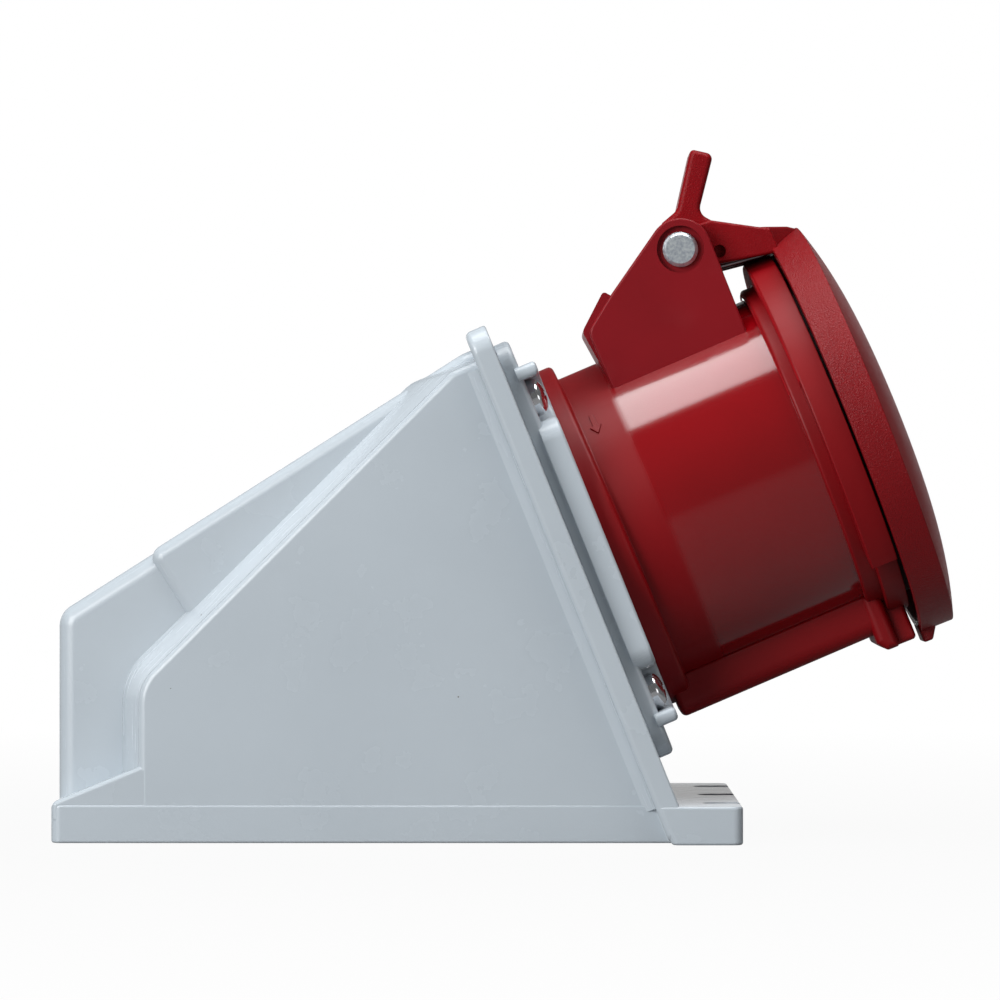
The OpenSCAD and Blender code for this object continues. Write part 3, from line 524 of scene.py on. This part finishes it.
tray = plate(soft(corners, radii), rim(0, PLATE_TOP, 0.5, 0.55, 5), ledge_shear)
wall_holes = [plate(circle(2.6, (-33.5, y)), [(0, -1), (0, 4.5)], level) for y in (-22, 22)]
make("wall_plate", [bored(tray, *wall_holes)], GREY, "enclosure", ["base_plate"])

# %% [markdown]
# ## Hood
# The cover is one moulding of three overlapping forms: a wide body whose slanting edge ramps down, a narrow
# cable end with a sloping roof, and a slightly higher hump behind the frame. It could be sculpted from one
# block. As plates that run across, each from its own side view, every crease falls where the side view puts
# it. The wide body is a loft: its rows move from the side's outline to a larger one further in.

# %% Wide body of the hood
BODY_X, SHOULDER_Z, RAMP = -50.3, 31.0, 4.3
BODY_TOP, RAMP_TOP, BODY_SOFT = 42.0, 43.3, 1.6  # tops above the socket's axis
EDGE_Y, EDGE_END = 36.25, 0.5  # centre and last angle of the round edge
RAMP_START, RAMP_Y, CORE_Y = 0.03, 29.0, 21.0  # ramp's first share, its end, and the row further in


def at(w, r):
    """Side-view point from the socket's frame."""
    x, _, z = socket(w, 0.0, r)
    return x, z


def meet(p, angle, r):
    """Where a line from p at an angle in degrees meets the line r above the socket's axis."""
    return cross(p, np.radians(angle), at(0.0, r), TILT)


def across(x, z, y):
    """An outline in the side view, with its height across."""
    return level(x, y, z)


def in_frame(r):
    """The last two corners of each form: inside the frame's top at r, and inside its foot."""
    return [at(-1.5, r), at(-3.8, -56.0)]


def body_rows(count=6):
    """Rows (inset, y, share) from the flat side inwards: a round edge of shrinking insets, then a straight
    ramp on which the larger outline's share grows to 1, then one row further in."""
    a = np.linspace(np.pi / 2, EDGE_END, count)
    edge = np.stack([BODY_SOFT * (np.cos(a) - np.cos(EDGE_END)), EDGE_Y + BODY_SOFT * np.sin(a), 0 * a], -1)
    ramp = [[0, EDGE_Y + BODY_SOFT * np.sin(EDGE_END), RAMP_START], [0, RAMP_Y, 1], [0, CORE_Y, 1]]
    return np.concatenate([edge, ramp])


shoulder = np.array([BODY_X, SHOULDER_Z])
raised = shoulder + RAMP * np.array([-np.sin(np.pi / 4), np.cos(np.pi / 4)])
ramp_x = BODY_X - RAMP
side_corners = [(BODY_X, 3), tuple(shoulder), meet(shoulder, 45, BODY_TOP)] + in_frame(BODY_TOP)
ramp_corners = [(ramp_x, 3), (ramp_x, raised[1] - (raised[0] - ramp_x)), meet(raised, 45, RAMP_TOP)]
side = soft(side_corners, [BODY_SOFT, 9, 5, BODY_SOFT, BODY_SOFT], steps=10)
larger = rounded(ramp_corners + in_frame(RAMP_TOP), [BODY_SOFT, 9 + RAMP, 7, BODY_SOFT, BODY_SOFT], steps=10)
rows = body_rows()
loft = np.stack([side(inset) + share * (larger - side(0.0)) for inset, _, share in rows])
half_body = capped(across(loft[..., 0], loft[..., 1], np.broadcast_to(rows[:, 1, None], loft.shape[:2])))
print("points on half the wide body:", len(half_body[0]))

# %% Cable end and hump
END_X, END_TOP, HUMP_X, HUMP_TOP, HUMP_RISE = -66.7, 44.7, -49.2, 44.6, 0.5
SLOPE_DEGREES = 32.4
SLOPE = np.radians(SLOPE_DEGREES)


def roof(x, rise=0.0):
    """Height of the sloping roof at x, raised square to the slope."""
    return END_TOP + (x - END_X) * np.tan(SLOPE) + rise / np.cos(SLOPE)


end_side = soft([(END_X, 2), (END_X, END_TOP), (-28, roof(-28)), (-28, 2)], [3.4, 4.6, 3.4, 3.4], steps=10)
cable_end = plate(end_side, rim(-30, 30, 3.3, 3.3, 8), across)
crest = meet((END_X, roof(END_X, HUMP_RISE)), SLOPE_DEGREES, HUMP_TOP)
back = np.array([HUMP_X, roof(HUMP_X, HUMP_RISE)])
heel = back + 56 * np.array([np.sin(SLOPE), -np.cos(SLOPE)])
hump_side = soft([tuple(heel), tuple(back), crest] + in_frame(HUMP_TOP), [2.6, 2.6, 6, 2.6, 2.6], steps=10)
hump = plate(hump_side, rim(-31.5, 31.5, 2.5, 2.5, 8), across)
print("crest of the roof at", np.round(crest, 1))

# %% [markdown]
# ## Frame, feet and wells of the hood
# The leaning frame is a plate across the socket's axis, joined to the body by a hollow fillet. Two low wedges
# stand beside the cable end, and two wells let the cover's screws down to the plate. The wells and the cable
# hole are bored, because they cut through forms that are already there.

# %% Frame and fillets
LEAN, LEAN_TOP = 0.021, 43.5  # turned about its top edge, the frame stands 1.2 degrees steeper
FILLET, BODY_SIDE = 3.2, 37.7


def facing(r, y, w):
    """An outline square to the socket's axis, with its height along the axis."""
    return socket(w, y, r)


def leaning(r, y, w):
    """The same, but the plane goes back along the axis by the lean times the way down from its top edge."""
    return socket(w + (r - LEAN_TOP) * LEAN, y, r)


def upright(w, y, r):
    """An outline seen along the frame, with its height up the frame."""
    return leaning(r, y, w)


frame_plan = soft([(-59.2, -44.85), (47.8, -44.85), (47.8, 44.85), (-59.2, 44.85)], [2, 5, 5, 2], steps=10)
tilted_frame = plate(frame_plan, rim(-FRAME_THICK, 0, 1.2, 0.5, 6), leaning)
a = np.linspace(0, np.pi / 2, 9)
hollow = np.stack([-FRAME_THICK - FILLET * (1 - np.sin(a)), BODY_SIDE + FILLET * (1 - np.cos(a))], -1)
fillet = np.concatenate([hollow, [[-4.0, 40.9], [-4.0, 37.0], [-7.6, 37.0]]])
flare = plate(lambda offset: fillet, [(0, -52), (0, 40.5)], upright)
print("points on one fillet:", len(flare[0]))

# %% Wedges, then the bored hood
wedge_side = soft([(-67.2, 4), (-67.2, 7.9), (-50.2, 14.9), (-46, 14.9), (-46, 4)], [0.9, 0.9, 1.5, 0.9, 0.9])
wedge = plate(wedge_side, rim(-37.8, 37.8, 0.8, 0.8, 5), across)
wells = [plate(circle(4.2, (-54.8, y)), [(0, 24), (0, 90)], level) for y in (-16, 16)]
cable_way = plate(circle(10.05, (0, 27)), [(0, -80), (0, -40)], lambda y, z, x: level(x, y, z))
hood_shells = [bored(cable_end, cable_way, *wells), hump, tilted_frame, wedge] + mirrored(half_body, flare)
make("hood_moulding", hood_shells, GREY, "enclosure", ["hood", "mouth_frame", "entry_plate"])

# %% [markdown]
# ## Stepped flange
# A square grey flange on the frame carries the tube. Its raised step has four pockets for the screws, open to
# the sides. Like the wall plate's slots they are inlets of the outline, so the step is one plate with soft
# edges. One quarter of its outline is written down, and the other three are its mirror images.

# %% Flange base and its step
base_plan = soft([(-43.5, -39.2), (43.5, -39.2), (43.5, 39.2), (-43.5, 39.2)], 5, steps=10)
flange_base = plate(base_plan, rim(0.0, 3.1, 0.2, 1.0, 7), leaning)
quarter = [(37.7, 40.4), (35.0, 40.4), (35.0, 26.2), (26.2, 26.2), (26.2, 40.4)]
quarter_r = [1.4, 1.0, 4.2, 4.2, 4.2]
half_step = quarter + [(-r, y) for r, y in quarter[::-1]]
half_r = quarter_r + quarter_r[::-1]
step_plan = soft(half_step + [(-r, -y) for r, y in half_step], half_r + half_r)
flange_step = plate(step_plan, rim(2.0, 6.4, 0.2, 0.8, 6), leaning)
bore = plate(circle(30.9, steps=96), [(0, -5), (0, 9)], facing)
flange_shells = [bored(flange_base, bore), bored(flange_step, bore)]
make("flange_moulding", flange_shells, GREY, "enclosure", ["socket_flange"])

# %% [markdown]
# ## Flange screws
# Four bright pan-head screws stand in the flange's pockets. A cylinder would do from afar. Here each head is
# a turned profile, a quarter ellipse over a straight side, and two crossed bars cut the driver's recess.

# %% Pan-head screws
SCREW_AT, HEAD_R, HEAD_FOOT, HEAD_SIDE, HEAD_RISE = 31.1, 3.75, 2.6, 4.2, 1.9
RECESS_LONG, RECESS_WIDE, RECESS_FLOOR = 1.9, 0.45, 4.9
a = np.linspace(0, np.pi / 2, 9)
crown = np.stack([HEAD_SIDE + HEAD_RISE * np.sin(a), HEAD_R * np.cos(a)], -1)
head_line = np.concatenate([[[HEAD_FOOT, 0], [HEAD_FOOT, HEAD_R]], crown])


def screw_head(up, over):
    """The turned head minus two bars, each a thin plate across the head, at a place on the leaning flange."""
    head = turned(head_line, lambda x, a, b: leaning(b + up, a + over, x), steps=48, closed=False)
    bars = []
    for p, q in ((RECESS_LONG, RECESS_WIDE), (RECESS_WIDE, RECESS_LONG)):
        plan = soft([(up - p, over - q), (up + p, over - q), (up + p, over + q), (up - p, over + q)], 0.2, 3)
        bars.append(plate(plan, [(0, RECESS_FLOOR), (0, 8)], leaning))
    return bored(head, *bars)


heads = [screw_head(up, over) for up in (SCREW_AT, -SCREW_AT) for over in (SCREW_AT, -SCREW_AT)]
make("flange_screw_heads", heads, SCREW, "enclosure", ["flange_screws"])

# %% [markdown]
# ## Red tube
# The shell is a turned tube with a bayonet ring behind and a thicker ring at its mouth. A tall collar runs
# round most of the mouth and a lower one closes the rest. They could be discs joined by hand, but a turned
# profile with round corners gives each in one line.

# %% Tube, rings and collars
TUBE_R = 33.1
tube_line = rounded([(-11.5, 29), (-11.5, 30.7), (7.2, 30.7), (7.2, 35.3), (4.9, 35.3), (4.9, 36.2),
                     (9.4, 36.2), (9.4, TUBE_R), (53.5, TUBE_R), (53.5, 29)],
                    [0.3, 0.3, 0.3, 0.15, 0.2, 0.35, 1.0, 0.4, 0.3, 0.3], steps=6)
tube = turned(tube_line, socket, steps=160)
ring_line = rounded([(-8, 29), (-8, 34.8), (-1.1, 34.8), (-1.1, 33.1), (0, 33.1), (0, 29)],
                    [0.3, 0.7, 0.5, 0.4, 0.5, 0.5], steps=6)
mouth_ring = turned(ring_line, mouth, steps=160)


def collar_line(behind, radius):
    """Profile of a collar from behind the mouth to just past it, up to a radius."""
    corners = [(behind, 32), (behind, radius), (0.05, radius), (0.05, 32)]
    return rounded(corners, [0.4, 0.4, 0.15, 0.3], steps=6)


collar = turned(collar_line(-5.4, 39.5), mouth, start=-131.5, sweep=263, steps=120)
under_collar = turned(collar_line(-4.4, 37.0), mouth, start=130, sweep=100, steps=48)
print("points on tube and collars:", sum(len(p) for p, _ in (tube, mouth_ring, collar, under_collar)))

# %% [markdown]
# ## Bulge, keyway and marks
# A bulge below the tube covers the keyway, and a lug at its end catches the lid's tab. They are plates with
# soft edges, and the keyway is cut with one tool through everything it meets. A small raised arrow is a flat
# plate whose length is wrapped round the tube. Thin strips on the back edges of collar and ring carry painted
# light: a red brighter than the tube's where those faces lie in shade, with almost no reflection, so that they
# hide the lit screen's reflection there.

# %% Bulge, lug, keyway and arrow
ARROW_W, ARROW_ANGLE, ARROW_R = 12.4, np.radians(-49), 33.0


def mouth_side(x, r, y):
    """An outline in the mouth's side view, with its height across."""
    return mouth(x, y, r)


def wrapped(along, w, rise):
    """Lay a flat mark on the tube: its length becomes an arc from the arrow's angle on towards -y."""
    t = ARROW_ANGLE - along / TUBE_R
    return socket(w + ARROW_W, (ARROW_R + rise) * np.sin(t), (ARROW_R + rise) * np.cos(t))


key_shape = soft([(-31, -11.6), (-39.2, -11.6), (-39.2, 11.6), (-31, 11.6)], [0.5, 3.2, 3.2, 0.5])
bulge = plate(key_shape, rim(5.8, 50, 1.2, 0.4), facing)
lug_plan = soft([(-9, -31), (-9, -41.2), (-7.4, -43.1), (-4.9, -43.1), (-4.9, -31)],
                [0.5, 0.9, 0.9, 0.5, 0.5])
lug = plate(lug_plan, rim(-12.1, 12.1, 1.6, 1.6), mouth_side)
catch_plan = soft([(-5.4, -31), (-5.4, -43.0), (-1.0, -43.0), (-1.0, -31)], [0.5, 0.6, 0.8, 0.5])
catch = plate(catch_plan, rim(-9.1, 9.1, 1.0, 1.0), mouth_side)
keyway = plate(soft([(-20, -5), (-36, -5), (-36, 5), (-20, 5)], 0.6), [(0, 12), (0, 70)], facing)
arrow_corners = [(-2.6, -0.5), (0.6, -0.5), (0.6, -1.3), (2.6, 0.0), (0.6, 1.3), (0.6, 0.5), (-2.6, 0.5)]
arrow = plate(soft(arrow_corners, 0.12, 4), rim(0.0, 0.42, 0.0, 0.12, 3), wrapped)
keyed = [bored(shell, keyway) for shell in (tube, mouth_ring, under_collar, bulge, lug, catch)]
make("socket_tube", keyed + [collar, arrow], RED_TUBE, "enclosure", ["socket_shell"])

# %% Painted light on the back edges of collar and ring
# Painted light: brighter red strips with almost no reflection, over back edges that lie in shade.
painted_light_strips = []
for behind, low, high in ((-5.5, 35.2, 39.2), (-8.1, 33.4, 34.2)):
    strip = rounded([(behind, low), (behind, high), (behind + 0.3, high), (behind + 0.3, low)], 0.1, steps=3)
    painted_light_strips.append(turned(strip, mouth, start=-70, sweep=140, steps=64))
make("collar_back_painted_light", painted_light_strips, RED_PAINTED_LIGHT, "enclosure")

# %% [markdown]
# ## Hinge ears
# Two ears on top of the tube hold the pin. Seen from the side they are one outline with a round head, so they
# are plates with soft edges, and a web joins them behind. The recess round the pin's end is bored.

# %% Ears and web
PIN_W, PIN_R = 41.85, 47.0
EAR_BACK, EAR_FRONT, EAR_LOW, EAR_HEAD = 18.55, 48.05, 25.0, 6.2
pin = np.array([PIN_W, PIN_R])


def sideways(w, r, y):
    """An outline in the socket's side view, with its height across."""
    return socket(w, y, r)


def touching(start, hand):
    """Angle of the line from a point that touches the ear's head, a circle round the pin: towards the pin,
    then turned by the arc sine of radius over distance, to one hand or the other."""
    w, r = pin - start
    return np.arctan2(r, w) + hand * np.arcsin(EAR_HEAD / np.hypot(w, r))


heel = np.array([EAR_BACK + 7, TUBE_R + 11])
toe = np.array([EAR_FRONT - 0.6, EAR_LOW])
head = cross(toe, touching(toe, -1), heel, touching(heel, 1))
ear_side = soft([tuple(toe), head, tuple(heel), (EAR_BACK, TUBE_R + 6), (EAR_BACK, EAR_LOW)],
                [0.9, EAR_HEAD, 1.0, 3.0, 0.9], steps=20)
ear_plate = plate(ear_side, rim(15, 19.5, 0.5, 0.45, 6), sideways)
recess = plate(circle(4.7, pin), [(0, 18.1), (0, 22)], sideways)
pin_hole = plate(circle(3.52, pin), [(0, 10), (0, 19)], sideways)
web_plan = soft([(EAR_BACK, 29.5), (EAR_BACK - 1, TUBE_R + 6.6), (EAR_BACK + 6, TUBE_R + 12.4),
                 (EAR_BACK + 7.5, TUBE_R + 10.4), (EAR_BACK + 5, 29.5)], [0.6, 1.6, 0.7, 0.7, 0.6])
web = plate(web_plan, [(0, -15.4), (0, 15.4)], sideways)
ear_shells = mirrored(bored(ear_plate, recess, pin_hole)) + [web]
make("hinge_ears", ear_shells, RED_EARS, "enclosure")

# %% [markdown]
# ## Lid
# The lid is a shallow dome with an upright rim, turned round the mouth's axis, with a finely grained surface.
# A sphere would do, but the real dome is flatter in its middle and falls faster near the rim, so its height
# follows the cube of the radius. The dome is turned from one closed profile, so that it is hollow when it
# opens, and a ring inside it holds the seal.

# %% Dome of the lid
LID_R, LID_BACK, LID_TOP, DOME_RISE, LID_WALL = 42.6, 0.5, 12.1, 4.75, 2.2


def dome_height(radius):
    """The top, less the rise times the cube of radius over rim radius."""
    return LID_TOP - DOME_RISE * (radius / LID_R) ** 3


out_r = np.linspace(LID_R - 0.5, 0, 32)
outer = np.stack([dome_height(out_r), out_r], -1)
in_r = np.linspace(0, LID_R - LID_WALL, 20)
inner = np.stack([dome_height(in_r) - LID_WALL, in_r], -1)
edge_corners = [(3, LID_R - LID_WALL), (LID_BACK, LID_R - LID_WALL), (LID_BACK, LID_R),
                (dome_height(LID_R), LID_R), tuple(outer[0])]
edge = rounded(edge_corners, [0.3, 0.2, 0.2, 0.2, 0.2], closed=False, steps=6)
lid_dome = turned(np.concatenate([inner, edge, outer]), mouth, steps=160, closed=False)
seat_line = rounded([(3.95, 28), (3.95, 35.1), (7.0, 35.1), (7.0, 28)], 0.2, steps=3)
lid_seat = turned(seat_line, mouth, steps=128)
tab_line = soft([(0.15, -40.6), (0.15, -44.7), (2.15, -44.7), (4.15, -41.6)], [0.4, 0.6, 0.7, 0.4])
tab = plate(tab_line, rim(-5, 5, 0.6, 0.6, 5), mouth_side)
make("lid_moulding", [lid_dome, lid_seat, tab], RED_LID, "lid", ["lid"])

# %% [markdown]
# ## Arm and lever
# From the side the arm is a wedge between barrel and rim, and the lever a slim bar that leaves it at 54
# degrees. They could be one block with cuts. Here all are plates across: a thin middle, a deeper cheek on
# each side, and the lever. A saddle narrows over the lid's rim. The room for the spring is bored between the
# barrels. The arm's finish is finer than the dome's, so it is a piece of its own.

# %% Crest that runs over the rim
def saddle(w, half, low, top, soften):
    """At each w a bar across: up at -half from low, a quarter circle to the top, and the mirror image down
    again."""
    a = np.linspace(0, np.pi / 2, 6)
    inset, drop = soften * (1 - np.cos(a)), soften * (np.sin(a) - 1)
    half, low, top = half[:, None], low[:, None], top[:, None]
    y = np.concatenate([-half, inset - half, half - inset[::-1], half], axis=1)
    r = np.concatenate([low, top + drop, top + drop[::-1], low], axis=1)
    return capped(socket(np.broadcast_to(w[:, None], y.shape), y, r))


crest_w = np.linspace(57, 65.7, 30)
crest_half = np.interp(crest_w, [57, 59.4, 63.8, 65.7], [14.55, 14.55, 8.5, 5.5])
crest_top = np.interp(crest_w, [57, 57.8, 59.6, 63.8, 65.7], [45.6, 45.2, 44.55, 43.1, 41.9])
crest_low = np.interp(crest_w, [57, 58.9, 59.3, 63.8, 65.7], [41.5, 40.9, 39.2, 40.3, 40.6])
crest_bar = saddle(crest_w, crest_half, crest_low, crest_top, 0.7)
print("points on the crest:", len(crest_bar[0]))

# %% Arm, barrels and lever
LEVER = np.radians(54)
barrel = plate(circle(5.7, pin, 64), rim(-14.66, 14.66, 0.6, 0.6, 5), sideways)
arm_back, arm_back_r = [(57.8, 45.3), (49.9, 50.1), (45.6, 50.6), (43.0, 46.0)], [6.0, 1.0, 0.7, 0.7]
middle_side = soft([(43.4, 42.8), (59.7, 41.2), (59.7, 44.4)] + arm_back, [0.7, 0.5, 0.6] + arm_back_r)
middle = plate(middle_side, rim(-12.4, 12.4, 0.1, 0.1, 3), sideways)
cheek_side = soft([(43.4, 42.2), (48.2, 41.4), (58.9, 39.1), (60.2, 39.7), (60.2, 44.0)] + arm_back,
                  [0.5, 1.0, 0.5, 0.5, 0.6] + arm_back_r)
cheek = plate(cheek_side, rim(11.8, 14.7, 0.2, 0.6, 5), sideways)
along = np.array([np.cos(LEVER), np.sin(LEVER)])
aside = np.array([-along[1], along[0]])
tip = 20.6 * along
lever_corners = [(-0.9, 6.6), 7.9 * along + 2.3 * aside, tip + 2.3 * aside, tip - 2.4 * aside,
                 8.4 * along - 2.1 * aside, (9.6, 1.8), (8.5, 0.5), (2.0, 1.0), (-1.5, 4.5)]
lever_side = soft([tuple(pin + c) for c in lever_corners], [0.3, 2.5, 0.9, 1.3, 2.2, 0.4, 0.4, 0.4, 0.4])
lever = plate(lever_side, rim(-9, 9, 1.1, 1.1, 6), sideways)
coil_room = plate(circle(6.25, pin, 64), [(0, -8), (0, 8)], sideways)
pin_way = plate(circle(3.56, pin, 64), [(0, -20), (0, 20)], sideways)
core = plate(circle(1.3, (PIN_W + 7.2, 43.7), 24), [(0, 12.9), (0, 16)], sideways)
hinge = [bored(shell, coil_room, pin_way) for shell in (barrel, middle, lever)]
hinge += mirrored(bored(cheek, pin_way, core))
make("lid_arm", [crest_bar] + hinge, RED_ARM, "lid")

# %% [markdown]
# ## Pin and spring
# The pin is a plain turned rod with a bright chamfer at each end. The spring is one bent wire: two coils
# round the pin whose outer ends press on the lid and whose inner ends rest on the tube. A wire along a path
# gives each half, and a blend lets its outer leg follow the lid while the inner one stays.

# %% Turn the pin
def crosswise(y, a, b):
    """Turned about the pin: y along it, a and b round it."""
    return socket(PIN_W + a, y, PIN_R + b)


pin_line = [(-19.5, 0), (-19.5, 2.85), (-18.95, 3.5), (18.95, 3.5), (19.5, 2.85), (19.5, 0)]
pin_shell = turned(pin_line, crosswise, steps=64, closed=False)
make("pin_rod", [pin_shell], ZINC, "enclosure", ["hinge_pin"])

# %% Wind the spring
COIL, THICK, PITCH, INNER_Y = 4.9, 1.3, 1.5, 2.4
hook, rest = np.array([57.2, 39.75]), np.array([EAR_BACK + 9.5, TUBE_R + 0.75])


def leaves_coil(end, hand):
    """Angle on the coil where a straight leg to an end leaves it: the end's own angle, turned by the arc
    cosine of coil radius over distance."""
    w, r = end - pin
    return np.arctan2(r, w) + hand * np.arccos(COIL / np.hypot(w, r))


first, last = leaves_coil(hook, -1), leaves_coil(rest, 1) - 6 * np.pi
turns = (first - last) / (2 * np.pi)
outer_y = INNER_Y + PITCH * turns
angles = np.linspace(first, last, 150)
coil_y = np.linspace(outer_y, INNER_Y, 150)
coil = np.stack([PIN_W + COIL * np.cos(angles), coil_y, PIN_R + COIL * np.sin(angles)], -1)
leg = np.linspace([hook[0], outer_y, hook[1]], coil[0], 12)[:-1]
leg_down = np.linspace(coil[-1], [rest[0], INNER_Y, rest[1]], 16)[1:]
half = np.concatenate([leg, coil, leg_down])
bridge_path = np.linspace([rest[0], INNER_Y, rest[1]], [rest[0], -INNER_Y, rest[1]], 9)
bridge = wire(bridge_path, THICK / 2, (1.0, 0.0, 0.0))
far_half, near_half = wire(half, THICK / 2), wire(half * [1, -1, 1], THICK / 2)
far_shells = [(socket(*p.T), f) for p, f in (far_half, bridge)]
spring_far = make("spring_far", far_shells, WIRE, None, ["lid_spring"])
near_shells = [(socket(*near_half[0].T), near_half[1])]
spring_near = make("spring_near", near_shells, WIRE, None)
print("turns in each coil:", round(turns, 2))

# %% [markdown]
# ## Finishes for the parts that stay
# Screws, seals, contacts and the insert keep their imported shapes, which are right as they are. They only need
# their finishes, set on the objects' own material slots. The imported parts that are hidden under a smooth
# piece get the same finish as that piece.

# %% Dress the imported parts
DRESSES = [
    (RUBBER, ["hood_gasket", "hood_screw_seals", "entry_grommet", "flange_gasket", "shell_seal",
              "lid_gasket"]),
    (SCREW, ["hood_screws", "flange_screws", "insert_screw", "terminal_screws"]),
    (DARK, ["contact_insert", "insert_back", "insert_ring"]),
    (BRASS, ["contact_l1", "contact_l2", "contact_l3", "contact_neutral", "contact_earth"]),
    (WIRE, ["contact_springs", "lid_spring"]),
    (GREY, ["base_plate", "hood", "mouth_frame", "entry_plate", "socket_flange"]),
    (RED_TUBE, ["socket_shell"]),
    (RED_LID, ["lid"]),
    (ZINC, ["hinge_pin"]),
]
for dress, names in DRESSES:
    for name in names:
        slots = frame["nodes"][name].data.materials
        slots.clear()
        slots.append(dress)
print("packed parts dressed:", sum(len(names) for _, names in DRESSES))

# %% [markdown]
# ## Camera
# The photograph looks straight at the side from about a metre, a little above the middle. A long lens keeps
# the lines straight. The camera could be turned to centre the object, but then the uprights would lean, so
# the lens is shifted instead.

# %% Camera at the photograph's place
camera = linked("camera", bpy.data.cameras.new("camera"))
camera.location = np.array([26.1, -1104.0, 67.0]) * MM
camera.rotation_euler = (np.pi / 2, 0, 0)
camera.data.lens, camera.data.sensor_width, camera.data.shift_x = 196.6, 36.0, -0.03
bpy.context.scene.camera = camera
bpy.context.scene.view_settings.view_transform = "Standard"
print("camera at", tuple(camera.location))

# %% [markdown]
# ## White surroundings
# The floor and the world are white to the camera. They could be lit until they are white, but so much light
# would wash out the part. So the white is mixed in for the camera's rays, and the floor still keeps a soft
# shadow near the part. Reflections get a tenth of that white: metal shows it, and it is too little to dull
# the red. Far behind the part a lit screen brightens the edges that are seen at a flat angle.

# %% White world
MIRRORED_WHITE, WORLD_LIGHT = 0.1, 0.04


def white_to_the_eye(tree, out, white_kind, seen_by_light, share=1.0):
    """Mix the shader that light meets with a white of strength 1: by the share (a number or a socket) for
    camera rays, and by a tenth of it for reflected and refracted ones."""
    path = node(tree, "ShaderNodeLightPath").outputs
    bounced = calc(tree, "ADD", path["Is Glossy Ray"], path["Is Transmission Ray"])
    seen = calc(tree, "MULTIPLY_ADD", bounced, MIRRORED_WHITE, path["Is Camera Ray"])
    white = node(tree, white_kind, {"Color": (1, 1, 1, 1), "Strength": 1.0}).outputs[0]
    parts = {"Fac": calc(tree, "MULTIPLY", seen, share), 1: seen_by_light, 2: white}
    tree.links.new(node(tree, "ShaderNodeMixShader", parts).outputs[0], out.inputs["Surface"])


world = bpy.data.worlds.new("studio")
bpy.context.scene.world = world
world.use_nodes = True
sky = world.node_tree.nodes["Background"]
sky.inputs["Color"].default_value = (1, 1, 1, 1)
sky.inputs["Strength"].default_value = WORLD_LIGHT
world_out = world.node_tree.nodes["World Output"]
white_to_the_eye(world.node_tree, world_out, "ShaderNodeBackground", sky.outputs[0])
print("world's light:", WORLD_LIGHT)

# %% Floor and screen
FLOOR_HALF, FLOOR_Z = 3, -0.0002
SCREEN_LEFT, SCREEN_RIGHT, SCREEN_Y, SCREEN_TOP = -0.8, 0.38, 1.0, 0.3


def sheet(name, corners, finish_name):
    """A flat stage piece of one face, with a new material."""
    mesh = bpy.data.meshes.new(name)
    mesh.from_pydata(corners, [], [(0, 1, 2, 3)])
    material = bpy.data.materials.new(finish_name)
    material.use_nodes = True
    mesh.materials.append(material)
    return linked(name, mesh), material.node_tree


ways = ((-1, -1), (1, -1), (1, 1), (-1, 1))
floor, tree = sheet("floor", [(x * FLOOR_HALF, y * FLOOR_HALF, FLOOR_Z) for x, y in ways], "pale_paper")
paper = tree.nodes["Principled BSDF"]
paper.inputs["Base Color"].default_value = (0.15, 0.15, 0.15, 1)
paper.inputs["Roughness"].default_value = 0.8
spot = node(tree, "ShaderNodeTexCoord").outputs["Object"]
far = node(tree, "ShaderNodeVectorMath", {0: spot}, operation="LENGTH").outputs["Value"]
fade = {"Value": far, "From Min": 0.1, "From Max": 0.5, "To Min": 0.95, "To Max": 1.0}
whiteness = node(tree, "ShaderNodeMapRange", fade).outputs[0]
white_to_the_eye(tree, tree.nodes["Material Output"], "ShaderNodeEmission", paper.outputs[0], whiteness)

screen_corners = [(SCREEN_LEFT, SCREEN_Y, 0), (SCREEN_RIGHT, SCREEN_Y, 0),
                  (SCREEN_RIGHT, SCREEN_Y, SCREEN_TOP), (SCREEN_LEFT, SCREEN_Y, SCREEN_TOP)]
screen, tree = sheet("backdrop", screen_corners, "lit_backdrop")
lit = node(tree, "ShaderNodeEmission", {"Strength": 1.0}).outputs[0]
tree.links.new(lit, tree.nodes["Material Output"].inputs["Surface"])
print("stage:", floor.name, screen.name)

# %% [markdown]
# ## Lamps
# Softboxes light the part as in a plain studio. Their places could be guessed. Here the bright band on the
# tube gives them away: the view from the camera, mirrored at that band, meets a lamp overhead. It is split in
# two, because the band ends where its mirror image meets the gap. A large weak lamp fills the side from the
# front left, and a weaker one from the right.

# %% Soft lamps
def softbox(name, place, aim, size, power):
    """A rectangular lamp at a place in mm that looks at an aim in mm."""
    lamp = bpy.data.lights.new(name, "AREA")
    lamp.shape, lamp.size, lamp.size_y, lamp.energy = "RECTANGLE", size[0] * MM, size[1] * MM, power
    obj = linked(name, lamp)
    obj.location = Vector(place) * MM
    obj.rotation_euler = (Vector(aim) - Vector(place)).to_track_quat("-Z", "Y").to_euler()


softbox("overhead", (160, -145, 790), (160, -144, 0), (520, 460), 4.8)
softbox("overhead_left", (-255, -145, 790), (-255, -144, 0), (170, 460), 1.56)
softbox("left_fill", (-760, -900, 400), (20, 0, 60), (700, 700), 13.0)
softbox("right_fill", (700, -900, 150), (40, 0, 60), (500, 500), 1.2)

# %% [markdown]
# ## Last checks
# The spring is tied to both bodies here: a coil could ride on one of them, but then a leg would tear off when
# the lid opens. The two boxes, before and after the dressing, are written down to show that the pieces kept
# the part's size.

# %% Blend the spring, compare the boxes and finish
pin_x, _, pin_z = socket(PIN_W, 0.0, PIN_R) * MM
for spring, flip in ((spring_far, 1.0), (spring_near, -1.0)):
    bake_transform(spring)
